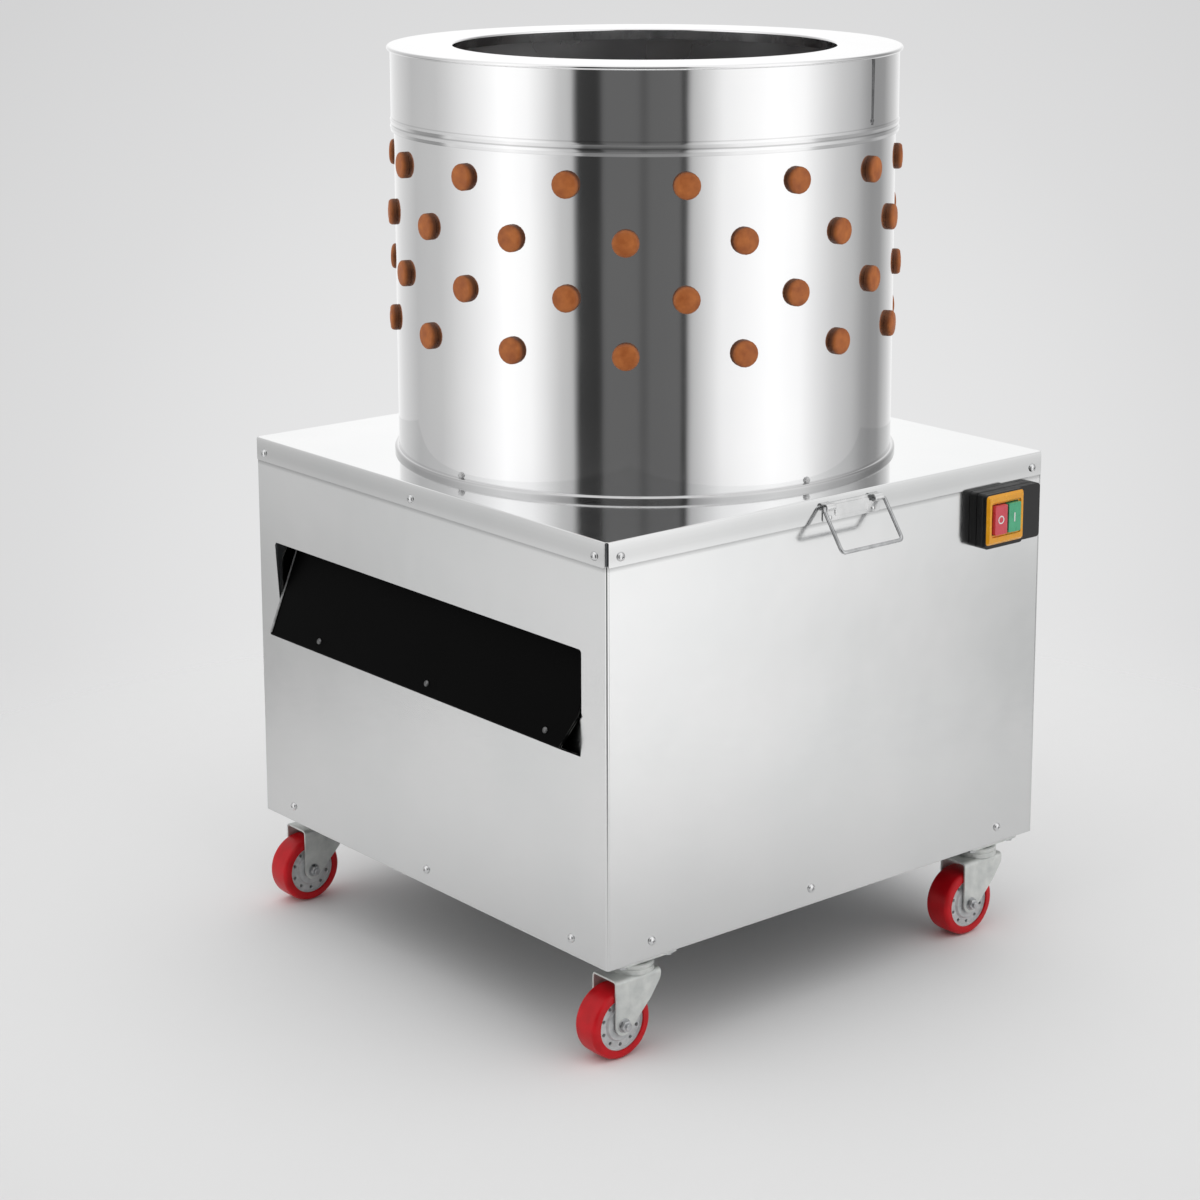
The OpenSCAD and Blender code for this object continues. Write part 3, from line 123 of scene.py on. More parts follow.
def finish(name, dark, light, rough, spots, metal=0, stretch=None, lift=0, streak=0, wave=None,
           edge_wear_and_highlight=None, coat=0, shine=0.5, painted_shade_bands=None):
    """A finish: two close tones and a roughness that drift in soft spots, a grain that lifts the surface and
    streaks its gloss, a slow wave in the sheet, painted shade that changes with the height or the distance
    from the drum's axis, and a lighter tone on the edges that is wear on some finishes and a painted
    highlight on others."""
    material = bpy.data.materials.new(name)
    material.use_nodes = True
    tree = material.node_tree
    surface = tree.nodes["Principled BSDF"].inputs
    surface["Metallic"].default_value = metal
    surface["Coat Weight"].default_value = coat
    surface["Specular IOR Level"].default_value = shine
    place = put(tree, "TexCoord")["Object"]
    drift = put(tree, "Group", {"Vector": place, "Scale": spots}, node_tree=mottle)["Value"]
    colour = put(tree, "Mix", {0: drift, 6: tone(*dark), 7: tone(*light)}, data_type="RGBA")[2]
    dull = put(tree, "MapRange", {"Value": drift, "To Min": rough[0], "To Max": rough[1]})["Result"]
    if stretch:
        pulls = stretch if isinstance(stretch, tuple) else (stretch, stretch, stretch)
        lines = put(tree, "Group", {"Vector": place, "Stretch": pulls}, node_tree=grain)["Value"]
        if lift:
            relief = put(tree, "Bump", {"Height": lines, "Distance": lift})
            tree.links.new(relief["Normal"], surface["Normal"])
        if streak:
            dull = put(tree, "Math", {0: lines, 1: streak, 2: dull}, operation="MULTIPLY_ADD")["Value"]
    if wave:
        swell = put(tree, "Group", {"Vector": place, "Scale": wave[0]}, node_tree=mottle)["Value"]
        relief = put(tree, "Bump", {"Height": swell, "Distance": wave[1]})
        tree.links.new(relief["Normal"], surface["Normal"])
    # Painted shade: the base colour is multiplied by greys that follow the height or the distance from the
    # axis.
    if painted_shade_bands:
        axis, *stops = painted_shade_bands
        first, last = stops[0][0], stops[-1][0]
        reading = put(tree, "Group", {"Vector": place}, node_tree=where)[axis]
        span = put(tree, "MapRange", {"Value": reading, "From Min": first, "From Max": last})["Result"]
        shade = ramp(tree, span, [((mark - first) / (last - first), grey(share)) for mark, share in stops])
        colour = put(tree, "Mix", {0: 1, 6: colour, 7: shade}, data_type="RGBA", blend_type="MULTIPLY")[2]
    # Lighter edge tone: wear on most finishes, a painted highlight on the black chute's edges and bends.
    if edge_wear_and_highlight:
        edge_wear_and_highlight_mask = put(tree, "Group", {"Vector": place, "Radius": 0.0012}, node_tree=edge_wear_and_highlight_group)["Mask"]
        colour = put(tree, "Mix", {0: edge_wear_and_highlight_mask, 6: colour, 7: tone(*edge_wear_and_highlight)}, data_type="RGBA")[2]
    tree.links.new(colour, surface["Base Color"])
    tree.links.new(dull, surface["Roughness"])
    return material


near = 0.00001


def dress(node, material, round_off):
    """Gives a solid its finish, and breaks its edges as the saw or the mould leaves them."""
    solid = solids[node]
    merge = solid.modifiers.new("merge", "WELD")
    merge.merge_threshold = near
    edge = solid.modifiers.new("edge", "BEVEL")
    edge.width, edge.segments, edge.angle_limit = round_off, 2, math.radians(40)
    if solid.material_slots:
        solid.material_slots[0].material = material
    else:
        solid.data.materials.append(material)


frame_paint = finish(
    "frame_paint", (92, 95, 98), (108, 111, 114), (0.42, 0.58), 22, stretch=420, lift=0.00008,
    edge_wear_and_highlight=(150, 150, 150))
bolt_zinc = finish("bolt_zinc", (176, 178, 180), (205, 206, 207), (0.26, 0.42), 130, metal=1)
for node in ("frame_posts", "frame_rails", "cross_beams", "motor_plate"):
    dress(node, frame_paint, 0.0005)
dress("frame_bolts", bolt_zinc, 0.0004)


# Cabinet panels: four sheets of satin stainless steel. The front and back sheets are folded round the
# posts on a small radius, the side sheets butt against them, and the feather outlet is cut out of the front.
def at(x, y, z):
    """A shift to a place."""
    return Matrix.Translation((x, y, z))


def about(axis, degrees):
    """A turn about an axis."""
    return Matrix.Rotation(math.radians(degrees), 4, axis)


def clear():
    """Leaves edit mode with nothing selected, so that an operator acts on the new piece alone."""
    if bpy.context.object and bpy.context.object.mode != "OBJECT":
        bpy.ops.object.mode_set(mode="OBJECT")
    bpy.ops.object.select_all(action="DESELECT")


def pick(kind, *tests):
    """Selects, in edit mode, the verts, edges or faces whose corners all pass one of the tests."""
    bpy.ops.mesh.select_mode(type=kind[:-1].upper())
    bpy.ops.mesh.select_all(action="DESELECT")
    mesh = bpy.context.object.data
    work = bmesh.from_edit_mesh(mesh)
    for item in getattr(work, kind):
        corners = [item.co] if kind == "verts" else [v.co for v in item.verts]
        item.select_set(any(all(test(p) for p in corners) for test in tests))
    bmesh.update_edit_mesh(mesh)


def work_on(piece, mode="EDIT"):
    """Makes a piece the only selected one, in the mode that the next operators need."""
    clear()
    piece.select_set(True)
    bpy.context.view_layer.objects.active = piece
    if mode == "EDIT":
        bpy.ops.object.mode_set(mode="EDIT")


def apply(piece, kind, **values):
    """Adds a modifier to a piece, sets it and applies it."""
    work_on(piece, "OBJECT")
    step = piece.modifiers.new(kind.lower(), kind)
    for key, value in values.items():
        setattr(step, key, value)
    bpy.ops.object.modifier_apply(modifier=step.name)


def cut_out(piece, cutter, operation="DIFFERENCE"):
    """Takes the cutter's volume out of a piece, or keeps only that, and throws the cutter away."""
    apply(piece, "BOOLEAN", operation=operation, object=cutter, solver="EXACT")
    bpy.data.objects.remove(cutter)


def block(name, low, high):
    """A box between two corners, left in edit mode to be shaped."""
    clear()
    bpy.ops.mesh.primitive_cube_add(size=1, enter_editmode=True)
    piece = bpy.context.object
    piece.name = name
    low, high = Vector(low), Vector(high)
    bpy.ops.transform.resize(value=high - low, center_override=(0, 0, 0))
    bpy.ops.transform.translate(value=(low + high) / 2)
    return piece


def rounded(path, radius, steps=6):
    """A path of (y, z) places with each inner corner turned on a radius."""
    path = [Vector(p) for p in path]
    turned = [path[0]]
    for a, b, c in zip(path, path[1:], path[2:]):
        back, on = (a - b).normalized(), (c - b).normalized()
        half = back.angle(on) / 2
        centre = b + (back + on).normalized() * radius / math.sin(half)
        start, end = (b + way * radius / math.tan(half) - centre for way in (back, on))
        turned += [centre + start.lerp(end, k / steps).normalized() * radius for k in range(steps + 1)]
    return turned + [path[-1]]


def bent_sheet(name, wide, path, thick):
    """A sheet that is wide along X and bent along a path of (y, z), with its thickness on the far side."""
    clear()
    bpy.ops.mesh.primitive_plane_add(size=2, enter_editmode=True)
    piece = bpy.context.object
    piece.name = name
    bpy.ops.transform.resize(value=(wide / 2, 1, 1), center_override=(0, 0, 0))
    for side, (y, z) in ((-1, path[0]), (1, path[1])):
        pick("edges", lambda p: p.y * side > 0.99)
        bpy.ops.transform.translate(value=(0, y - side, z))
    for a, b in zip(path[1:], path[2:]):
        bpy.ops.mesh.extrude_edges_move(TRANSFORM_OT_translate={"value": (0, b[0] - a[0], b[1] - a[1])})
    apply(piece, "SOLIDIFY", thickness=thick, offset=-1)
    return piece


def soften(piece, round_off=0, steps=2):
    """Breaks a finished piece's sharp edges, smooths its curves and keeps its flats flat."""
    if round_off:
        apply(piece, "BEVEL", width=round_off, segments=steps, limit_method="ANGLE",
              angle_limit=math.radians(50))
    work_on(piece, "OBJECT")
    bpy.ops.object.shade_smooth_by_angle(angle=math.radians(40))
    apply(piece, "WEIGHTED_NORMAL", keep_sharp=True)


def hand_in(piece, material, body, slot, *stands_for):
    """Gives a piece its finish and its body, and hides the solids that it stands for."""
    piece.data.name = piece.name
    piece.data.materials.clear()
    piece.data.materials.append(material)
    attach(piece, body)
    if stands_for:
        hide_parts(*stands_for)


panel_out, sheet, panel_bend, flange = 0.3438, 0.0012, 0.0026, 0.0034
panel_low, panel_high = (corner.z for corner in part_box("front_panel"))
outlet_low, outlet_high, outlet_half, outlet_lean = 0.3987, 0.477, 0.3, 0.008
half_notch = Vector((0.006, 0.01, 0.03))
# Painted shade: the height bands darken the panels towards their foot and in a band under and behind the
# deck's lips, and lighten them a little just below that band.
satin = finish(
    "satin_sheet", (226, 227, 227), (233, 233, 233), (0.1, 0.15), 5, metal=1, stretch=(30, 30, 700),
    streak=0.05, wave=(4, 0.0002), painted_shade_bands=("Height", (0.118, 0.84), (0.122, 0.88), (0.17, 0.91),
    (0.24, 0.97), (0.32, 1), (0.44, 1), (0.53, 1.05), (0.5715, 1.05), (0.5752, 0.74), (0.577, 0.62),
    (0.606, 0.6)))
upright = Matrix(((0, -1, 0, 0), (0, 0, -1, 0), (1, 0, 0, (panel_low + panel_high) / 2), (0, 0, 0, 1)))
side_half = panel_out - flange - 0.0001
for turn, side in enumerate(("front", "right", "back", "left")):
    folded = turn % 2 == 0
    path = [(side_half, 0), (0, 0), (-side_half, 0)]
    if folded:
        path = rounded(
            [(panel_out, -flange), (panel_out, 0), (-panel_out, 0), (-panel_out, -flange)], panel_bend)
    panel = bent_sheet(
        side + "_sheet", panel_high - panel_low, [(-y, z + panel_out) for y, z in path], sheet)
    panel.data.transform(about("Z", 90 * turn) @ upright)
    if side == "front":
        outlet = block("outlet", (-outlet_half, -panel_out - 0.02, outlet_low),
                       (outlet_half, -panel_out + 0.02, outlet_high))
        top_left, top_right = [lambda p, way=way: p.z > 0.47 and p.x * way > 0.29 for way in (-1, 1)]
        pick("edges", top_left)
        bpy.ops.transform.translate(value=(-outlet_lean, 0, 0))
        pick("edges", top_right, top_left)
        bpy.ops.mesh.bevel(offset=0.004, segments=4)
        cut_out(panel, outlet)
    if folded:
        for x in (-panel_out, panel_out):
            middle = Vector((x, panel_out * (turn - 1), panel_high + 0.0045))
            cut_out(panel, block("notch", middle - half_notch, middle + half_notch))
    soften(panel, 0.00015, 1)
    hand_in(panel, satin, "cabinet", "satin_steel", side + "_panel")


# Deck: one sheet of the same stainless steel on top of the cabinet. Its four edges are folded down as lips,
# slit at the corners, with the lips' lower corners rounded, and the drum's opening is cut out of its middle.
deck_top, deck_half, lip_high, deck_bend = 0.606, 0.345, 0.029, 0.0022
# Painted shade: the height bands darken the folded lips, most in their lower half.
deck_steel = finish(
    "deck_steel", (236, 237, 237), (241, 241, 241), (0.06, 0.1), 5, metal=1, stretch=(40, 40, 500),
    streak=0.04, wave=(3, 0.0003), painted_shade_bands=("Height", (0.577, 0.74), (0.5783, 0.88), (0.581, 0.85),
    (0.5865, 0.79), (0.592, 0.79), (0.599, 0.84), (0.6037, 0.91), (0.6052, 1), (0.606, 1)))
slit = 0.001
flat = deck_half - deck_bend - slit
clear()
bpy.ops.mesh.primitive_plane_add(size=2 * flat, enter_editmode=True)
deck = bpy.context.object
deck.name = "deck_sheet"
bpy.ops.transform.translate(value=(0, 0, deck_top))
for turn in range(4):
    out = Vector((math.cos(turn * math.pi / 2), math.sin(turn * math.pi / 2), 0))
    edgewise = Vector((-out.y, out.x, 0))
    pick("edges", lambda p: p.dot(out) > flat - near and abs(p.dot(edgewise)) < flat + near
         and p.z > deck_top - near)
    steps = [out * slit]
    for k in range(6):
        a, b = math.radians(15 * k), math.radians(15 * k + 15)
        drop = Vector((0, 0, math.cos(b) - math.cos(a)))
        steps.append(deck_bend * (out * (math.sin(b) - math.sin(a)) + drop))
    for step in steps + [Vector((0, 0, deck_bend - lip_high))]:
        bpy.ops.mesh.extrude_edges_move(TRANSFORM_OT_translate={"value": step})
pick("verts", lambda p: p.z < deck_top - lip_high + near)
bpy.ops.mesh.bevel(offset=0.0025, segments=4, affect="VERTICES")
apply(deck, "SOLIDIFY", thickness=sheet, offset=-1)
clear()
bpy.ops.mesh.primitive_cylinder_add(vertices=192, radius=0.3, depth=0.02, location=(0, 0, deck_top))
cut_out(deck, bpy.context.object)
soften(deck, 0.0003, 1)
hand_in(deck, deck_steel, "cabinet", "satin_steel", "deck_plate")


# Cabinet screws: pan-head self-tappers of stainless steel with a cross recess, driven through the lips
# and along the foot of the panels.
def spun(name, rings, turns, loop=False):
    """A turned form about Z: a ring of edges drawn out along a profile of (radius, height). A face closes
    each end, or the profile is a loop that comes back to its start."""
    if loop:
        rings = rings + rings[:1]
    clear()
    bpy.ops.mesh.primitive_circle_add(
        vertices=turns, radius=rings[0][0], enter_editmode=True, fill_type="NOTHING" if loop else "NGON")
    piece = bpy.context.object
    piece.name = name
    bpy.ops.transform.translate(value=(0, 0, rings[0][1]))
    if not loop:
        pick("edges", lambda p: True)
    for (r0, z0), (r1, z1) in zip(rings, rings[1:]):
        bpy.ops.mesh.extrude_edges_move(TRANSFORM_OT_translate={"value": (0, 0, z1 - z0)})
        bpy.ops.transform.resize(value=(r1 / r0, r1 / r0, 1), center_override=(0, 0, z1))
    if not loop:
        bpy.ops.mesh.edge_face_add()
    bpy.ops.mesh.select_all(action="SELECT")
    bpy.ops.mesh.remove_doubles(threshold=near)
    bpy.ops.mesh.normals_make_consistent(inside=False)
    bpy.ops.object.mode_set(mode="OBJECT")
    return piece


def join(name, pieces):
    """Makes several meshes one piece."""
    work_on(pieces[0], "OBJECT")
    for piece in pieces:
        piece.select_set(True)
    bpy.ops.object.join()
    pieces[0].name = name
    return pieces[0]


def copy_to(name, master, place):
    """A copy of a finished master at a place, with its own mesh."""
    copy = bpy.data.objects.new(name, master.data.copy())
    copy.data.transform(place)
    bpy.context.collection.objects.link(copy)
    return copy


def set_out(name, master, places):
    """Copies a finished master to each place, and joins the copies."""
    copies = [copy_to(name, master, place) for place in places]
    bpy.data.objects.remove(master)
    return join(name, copies)


def facing(turn, across, out, high):
    """A place on one of the cabinet's four sides, where the piece's own Z points out of the side."""
    return about("Z", 90 * turn) @ at(across, -out, high) @ about("X", 90)


screw = spun(
    "screw", [(0.005, -0.0002), (0.0052, 0.0004), (0.005, 0.0012), (0.0045, 0.002), (0.0036, 0.0027),
    (0.0022, 0.0032), (0.0006, 0.0034)], 28)
for turn in (20, 110):
    recess = block("recess", (-0.002, -0.0004, 0.0021), (0.002, 0.0004, 0.0047))
    bpy.ops.transform.rotate(value=math.radians(turn), orient_axis="Z", center_override=(0, 0, 0))
    cut_out(screw, recess)
soften(screw)
lip_row, foot_row = 0.588, 0.138
places = []
for turn in range(4):
    along_lip = (-0.325, -0.013, 0.325) if turn % 2 == 0 else (-0.325, 0.325)
    along_foot = (-0.28, 0.005 if turn % 2 == 0 else -0.036, 0.28)
    places += [facing(turn, x, deck_half, lip_row) for x in along_lip]
    places += [facing(turn, x, panel_out, foot_row) for x in along_foot]
screws = set_out("sheet_screws", screw, places)
screw_steel = finish("screw_steel", (205, 206, 207), (230, 230, 230), (0.16, 0.28), 300, metal=1)
hand_in(screws, screw_steel, "cabinet", "fastener_steel", "cabinet_screws")


# Discharge chute: a bent sheet of mild steel, stoved gloss black, that leans out of the outlet. A cheek
# closes each side behind the panel, and three domed rivets sit along the lip. A lighter hem strip along the
# left edge is partly bare steel and partly a painted highlight, and the lighter grey on the black's edges is
# partly wear and partly a painted highlight.
chute_wide, chute_thick, chute_lip, chute_slope = 0.596, 0.002, (-0.361, 0.3634), 68
right_trim, overhang = 0.018, 0.0172
run = rounded(
    [(-panel_out, 0.3548), chute_lip, (-0.3135, 0.481), (-0.2138, 0.5385), (-0.1988, 0.5385)], 0.0026)
chute = bent_sheet("chute_sheet", chute_wide, run, chute_thick)
work_on(chute)
bpy.ops.mesh.select_all(action="SELECT")
bpy.ops.mesh.bisect(plane_co=(0, -panel_out, 0), plane_no=(0, 1, 0))
bpy.ops.object.mode_set(mode="OBJECT")
for corner in chute.data.vertices:
    if corner.co.x > 0.2 and corner.co.y < -panel_out:
        corner.co.x += right_trim * (corner.co.y + panel_out) / overhang


def cut_plate(name, outline, thick):
    """A flat plate in XY, cut to an outline, that stands up from z = 0 by its thickness."""
    clear()
    bpy.ops.mesh.primitive_circle_add(vertices=len(outline), radius=1, fill_type="NGON")
    piece = bpy.context.object
    piece.name = name
    for corner, place in zip(piece.data.vertices, outline):
        corner.co = (*place, 0)
    work_on(piece)
    bpy.ops.mesh.select_all(action="SELECT")
    bpy.ops.mesh.extrude_region_move(TRANSFORM_OT_translate={"value": (0, 0, thick)})
    bpy.ops.mesh.select_all(action="SELECT")
    bpy.ops.mesh.normals_make_consistent(inside=False)
    bpy.ops.object.mode_set(mode="OBJECT")
    return piece


on_side = Matrix(((0, 0, 1, 0), (1, 0, 0, 0), (0, 1, 0, 0), (0, 0, 0, 1)))
cheek_outline = [(-0.3462, 0.4), (-0.342, 0.4), (-0.3405, 0.46), (-0.314, 0.506), (-0.3125, 0.48)]
cheeks = []
for x in (-chute_wide / 2, chute_wide / 2 - chute_thick):
    cheeks.append(cut_plate("cheek", cheek_outline, chute_thick))
    cheeks[-1].data.transform(at(x, 0, 0) @ on_side)
chute = join("chute_sheet", [chute] + cheeks)
soften(chute, 0.0005)
# The lighter edge tone is partly wear and partly a painted highlight along the sheet's edges and bends.
gloss_black = finish(
    "gloss_black", (3, 3, 3), (6, 6, 6), (0.36, 0.48), 9, stretch=160, lift=0.00012, edge_wear_and_highlight=(120, 120, 118),
    shine=0.03)
hand_in(chute, gloss_black, "cabinet", "black_paint", "discharge_chute")

on_chute = at(0, *chute_lip) @ about("X", chute_slope)
# The hem strip is lighter than the black sheet: partly bare steel, partly a painted highlight along the left
# edge.
hem = cut_plate(
    "chute_hem", [(-0.2978, 0.003), (-0.2942, 0.003), (-0.2942, 0.122), (-0.2978, 0.122)], 0.0012)
hem.data.transform(on_chute)
soften(hem, 0.0003, 1)
rivet = spun(
    "rivet", [(0.0039, -0.0002), (0.004, 0.0003), (0.0037, 0.0011), (0.0029, 0.0018), (0.0016, 0.0022),
    (0.0006, 0.0023)], 24)
soften(rivet)
rivets = set_out("chute_domes", rivet, [on_chute @ at(x, 0.014, 0) for x in (-0.195, 0.028, 0.251)])
rivet_steel = finish("rivet_steel", (92, 92, 93), (128, 128, 128), (0.26, 0.4), 260, metal=1)
hand_in(rivets, rivet_steel, "cabinet", "fastener_steel", "chute_rivets")
hem_grey_and_highlight = finish("hem_grey_and_highlight", (128, 128, 128), (176, 176, 176), (0.34, 0.5), 160, metal=0.5)
hand_in(hem, hem_grey_and_highlight, "cabinet", "fastener_steel")


# Feather pan: a dished stainless tray under the turntable, rolled and welded, with a window to the chute.
# It is left with its mill finish.
mill_steel = finish(
    "mill_steel", (178, 179, 180), (205, 206, 206), (0.3, 0.46), 12, metal=1, stretch=70, lift=0.0001)
dress("feather_pan", mill_steel, 0.0004)


# Drum shell: a sheet of mirror-polished stainless steel, rolled to 600 mm inside and welded, with a bead
# rolled into its foot. It stands on the deck.
def arc(radius, centre_r, centre_z, start, end, steps):
    """Places of a profile round a centre, from one angle to another in degrees."""
    angles = [math.radians(start + (end - start) * k / steps) for k in range(steps + 1)]
    return [(centre_r + radius * math.cos(a), centre_z + radius * math.sin(a)) for a in angles]


polish = {
    "dark": (231, 231, 232), "light": (236, 236, 236), "rough": (0.055, 0.085), "spots": 6, "metal": 1,
    "stretch": (9, 9, 2.2), "lift": 0.00025, "streak": 0.02}
# Painted shade: the height band darkens the lowest 7.7 mm of the drum, its foot bead.
mirror_steel = finish(
    "mirror_steel", **polish, painted_shade_bands=("Height", (0.606, 0.66), (0.613, 0.7), (0.6137, 1), (1.1, 1)))
inside_steel = finish(
    "inside_steel", (172, 173, 174), (194, 195, 196), (0.2, 0.3), 9, metal=1, stretch=(60, 60, 4),
    streak=0.06)


def line_inside(piece):
    """Gives the faces that look towards the drum's axis the duller finish of the inside."""
    piece.data.materials.append(inside_steel)
    for face in piece.data.polygons:
        if face.normal.xy.dot(face.center.xy.normalized()) < -0.7:
            face.material_index = 1


drum_in, drum_out, drum_foot, drum_head = 0.3, 0.3015, 0.606, 1.006
shell = spun(
    "shell_sheet", [(drum_in, drum_foot), (drum_in, drum_head), (drum_out, drum_head), (drum_out, 0.8),
    (drum_out, 0.6132)] + arc(0.004, 0.3028, 0.609, 106, 0, 10) + [(0.3068, drum_foot)], 288, loop=True)
soften(shell)
hand_in(shell, mirror_steel, "cabinet", "polished_steel", "drum_shell")
line_inside(shell)


# Drum collar: a second rolled band over the shell's head, with a pressed double bead along its lower edge
# and a lapped, spot-welded seam.
collar_in, collar_out, collar_low, collar_high = 0.3034, 0.3049, 0.9993, 1.0965
profile = [(collar_in, collar_low), (collar_in, collar_high), (collar_out, collar_high), (collar_out, 1.05)]
for bead in (1.0104, 1.0016):
    profile += [(collar_out + swell, bead + rise) for swell, rise in (
        (0, 0.0032), (0.00098, 0.0006), (0.00105, 0.0003), (0.001, -0.0001), (0, -0.0042))]
collar = spun("collar_band", profile + [(collar_in, 0.9976)], 288, loop=True)
soften(collar)
# Painted shade: the height bands darken the collar's lower edge and the creases above and between its two
# beads.
collar_steel = finish(
    "collar_steel", **polish, painted_shade_bands=("Height", (0.9965, 0.74), (0.9985, 1), (1.0044, 1), (1.0052, 0.66),
    (1.0062, 0.66), (1.007, 1), (1.0128, 1), (1.0137, 0.74), (1.015, 1), (1.098, 1)))
hand_in(collar, collar_steel, "cabinet", "polished_steel", "drum_collar")
line_inside(collar)
seam_angle, seam_sunk = 19.1, 0.0003
seam = cut_plate(
    "collar_seam", [(-0.0022, 1.0165), (0.0014, 1.0165), (0.003, 1.07), (0.0034, 1.093), (-0.003, 1.093)],
    0.0009)
weld = spun("weld", [(0.0034, -0.0004), (0.0032, 0.0008), (0.0022, 0.0011), (0.0006, 0.0011)], 20)
weld.data.transform(at(-0.001, 1.0215, 0.0004))
seam = join("collar_seam", [seam, weld])
soften(seam, 0.0003, 1)
seam.data.transform(about("Z", seam_angle) @ at(collar_out - seam_sunk, 0, 0) @ on_side)
weld_grey = finish("weld_grey", (112, 112, 113), (140, 140, 141), (0.3, 0.45), 120, metal=1)
hand_in(seam, weld_grey, "cabinet", "polished_steel")


# Rim ring: a flat ring of polished stainless sheet that closes the collar. Its outer edge is rolled over the
# collar, and its inner edge is turned down round the mouth.
mouth, rim_top, rim_under, roll, hem_deep = 0.23, 1.098, 1.0965, 0.0026, 0.012
profile = [(mouth, rim_under - hem_deep), (mouth, rim_top - roll)]
profile += arc(roll, mouth + roll, rim_top - roll, 180, 90, 6)
profile += [(0.27, rim_top), (0.3062, rim_top)] + arc(roll, 0.3064, rim_top - roll, 88, -90, 12)
profile += [(0.3052, rim_top - 0.005), (0.3051, rim_under - 0.0003), (0.304, rim_under)]
profile += [(mouth + 0.0036, rim_under)] + arc(0.0012, mouth + 0.0027, rim_under - 0.0012, 90, 180, 4)
rim = spun("rim_sheet", profile + [(mouth + 0.0015, rim_under - hem_deep)], 288, loop=True)
soften(rim)
hand_in(rim, mirror_steel, "cabinet", "polished_steel", "rim_ring")


# Drum bolts: small zinc-plated hexagon bolts with washers. They go through the drum's foot, just above
# its bead, and hold it to the pan.
def hex_bolt(name, across, high, washer):
    """A hexagon head with chamfered corners on a washer, on +Z."""
    flats, brim = across / 2, washer / 2
    head = spun(name, [(flats, 0.0008), (flats, high - 0.0006), (flats - 0.0009, high), (0.0006, high)], 6)
    ring = spun("washer", [(brim, -0.0003), (brim, 0.0007), (brim - 0.0003, 0.0009), (0.001, 0.0009)], 32)
    piece = join(name, [head, ring])
    soften(piece, 0.0002, 1)
    return piece


def out_of_drum(angle, radius, high):
    """A place on the drum where the piece's own Z points outwards."""
    return about("Z", angle) @ at(radius, 0, high) @ about("Y", 90)


bolts = set_out(
    "foot_bolts", hex_bolt("bolt", 0.0075, 0.003, 0.0085),
    [out_of_drum(a, drum_out, 0.616) for a in (-85, 95, -2, 178)])
foot_bolt_grey = finish("foot_bolt_grey", (196, 196, 197), (214, 214, 214), (0.4, 0.52), 160, metal=0.1)
hand_in(bolts, foot_bolt_grey, "cabinet", "fastener_steel", "drum_bolts")


# Plucking fingers: moulded brown rubber, pushed through holes in the drum and in the turntable. Each has a
# round button head, a neck that the sheet sits in, a flange, and a tapered stem with rings.
def finger(name, thick):
    """One finger on +Z, for a sheet of this thickness with its outer face at z = 0 and the head below."""
    rings = [(0.0012, -0.0092), (0.006, -0.009), (0.01, -0.0084)] + arc(0.0044, 0.0112, -0.004, -72, 0, 5)
    rings += [(0.0157, -0.0008), (0.0153, 0.0002), (0.0108, 0.0003)]
    rings += [(r, thick + z) for r, z in (
        (0.0107, 0.0004), (0.0124, 0.0006), (0.013, 0.0012), (0.013, 0.006), (0.0122, 0.0067))]
    root, tip, count = thick + 0.0072, thick + 0.0775, 11
    step = (tip - root) / count
    for k in range(count):
        z, stem = root + (tip - root) * k / count, 0.01 - 0.0036 * k / count
        rings += [(stem - 0.0008, z + 0.2 * step), (stem, z + 0.45 * step), (stem - 0.0001, z + 0.75 * step)]
    piece = spun(name, rings + arc(0.006, 0, thick + 0.079, 0, 78, 4), 20)
    soften(piece)
    return piece


# Painted shade: radius bands darken the drum's fingers where they meet the drum wall, lighten their heads'
# outer faces, and halve the tone of the fingers inside the drum and on the turntable.
brown_rubber = finish(
    "brown_rubber", (166, 88, 36), (198, 116, 56), (0.46, 0.64), 85, stretch=900, lift=0.0001, shine=0.4,
    painted_shade_bands=("Radius", (0.296, 0.5), (0.301, 0.32), (0.3046, 0.32), (0.3078, 0.78), (0.3102, 1),
    (0.312, 1)))
per_row, first_angle = 14, -5.6
places = []
for row, z in enumerate((0.773, 0.837, 0.901, 0.965)):
    for k in range(per_row):
        angle = first_angle + 360 / per_row * (k + (0.5 if row % 2 == 0 else 0))
        places.append(out_of_drum(angle, drum_out, z) @ about("X", 180))
fingers = set_out("drum_finger_set", finger("finger", 0.0015), places)
hand_in(fingers, brown_rubber, "cabinet", "finger_rubber", "drum_fingers")


# Turntable: a laser-cut stainless disc on the main shaft, full of fingers, under a turned cap. Two sheet
# paddles below it sweep the feathers to the chute.
table_low, table_top = 0.64, 0.643
table = spun(
    "table_disc", [(0.0176, table_low), (0.2872, table_low), (0.288, 0.6406), (0.288, 0.6424),
    (0.2872, table_top), (0.0176, table_top)], 192, loop=True)
soften(table)
table_steel = finish(
    "table_steel", (208, 209, 210), (226, 226, 226), (0.16, 0.26), 16, metal=1, stretch=(55, 900, 900),
    lift=0.00002, streak=0.06)
hand_in(table, table_steel, "turntable", "satin_steel", "turntable")
places = []
for ring in range(3):
    count, radius = 6 * (ring + 1), 0.1 + 0.075 * ring
    for k in range(count):
        angle = math.radians(360 * (k + 0.5) / count)
        places.append(at(radius * math.cos(angle), radius * math.sin(angle), table_low))
table_fingers = set_out("table_finger_set", finger("finger", 0.003), places)
hand_in(table_fingers, brown_rubber, "turntable", "finger_rubber", "plate_fingers")
cap_low, cap_high = (corner.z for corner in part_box("hub_cap"))
shoulder = cap_low + 0.016
crown = [(0.04 * math.cos(a) + 0.0004, shoulder + (cap_high - shoulder) * math.sin(a))
         for a in map(math.radians, (15, 30, 45, 60, 75, 86))]
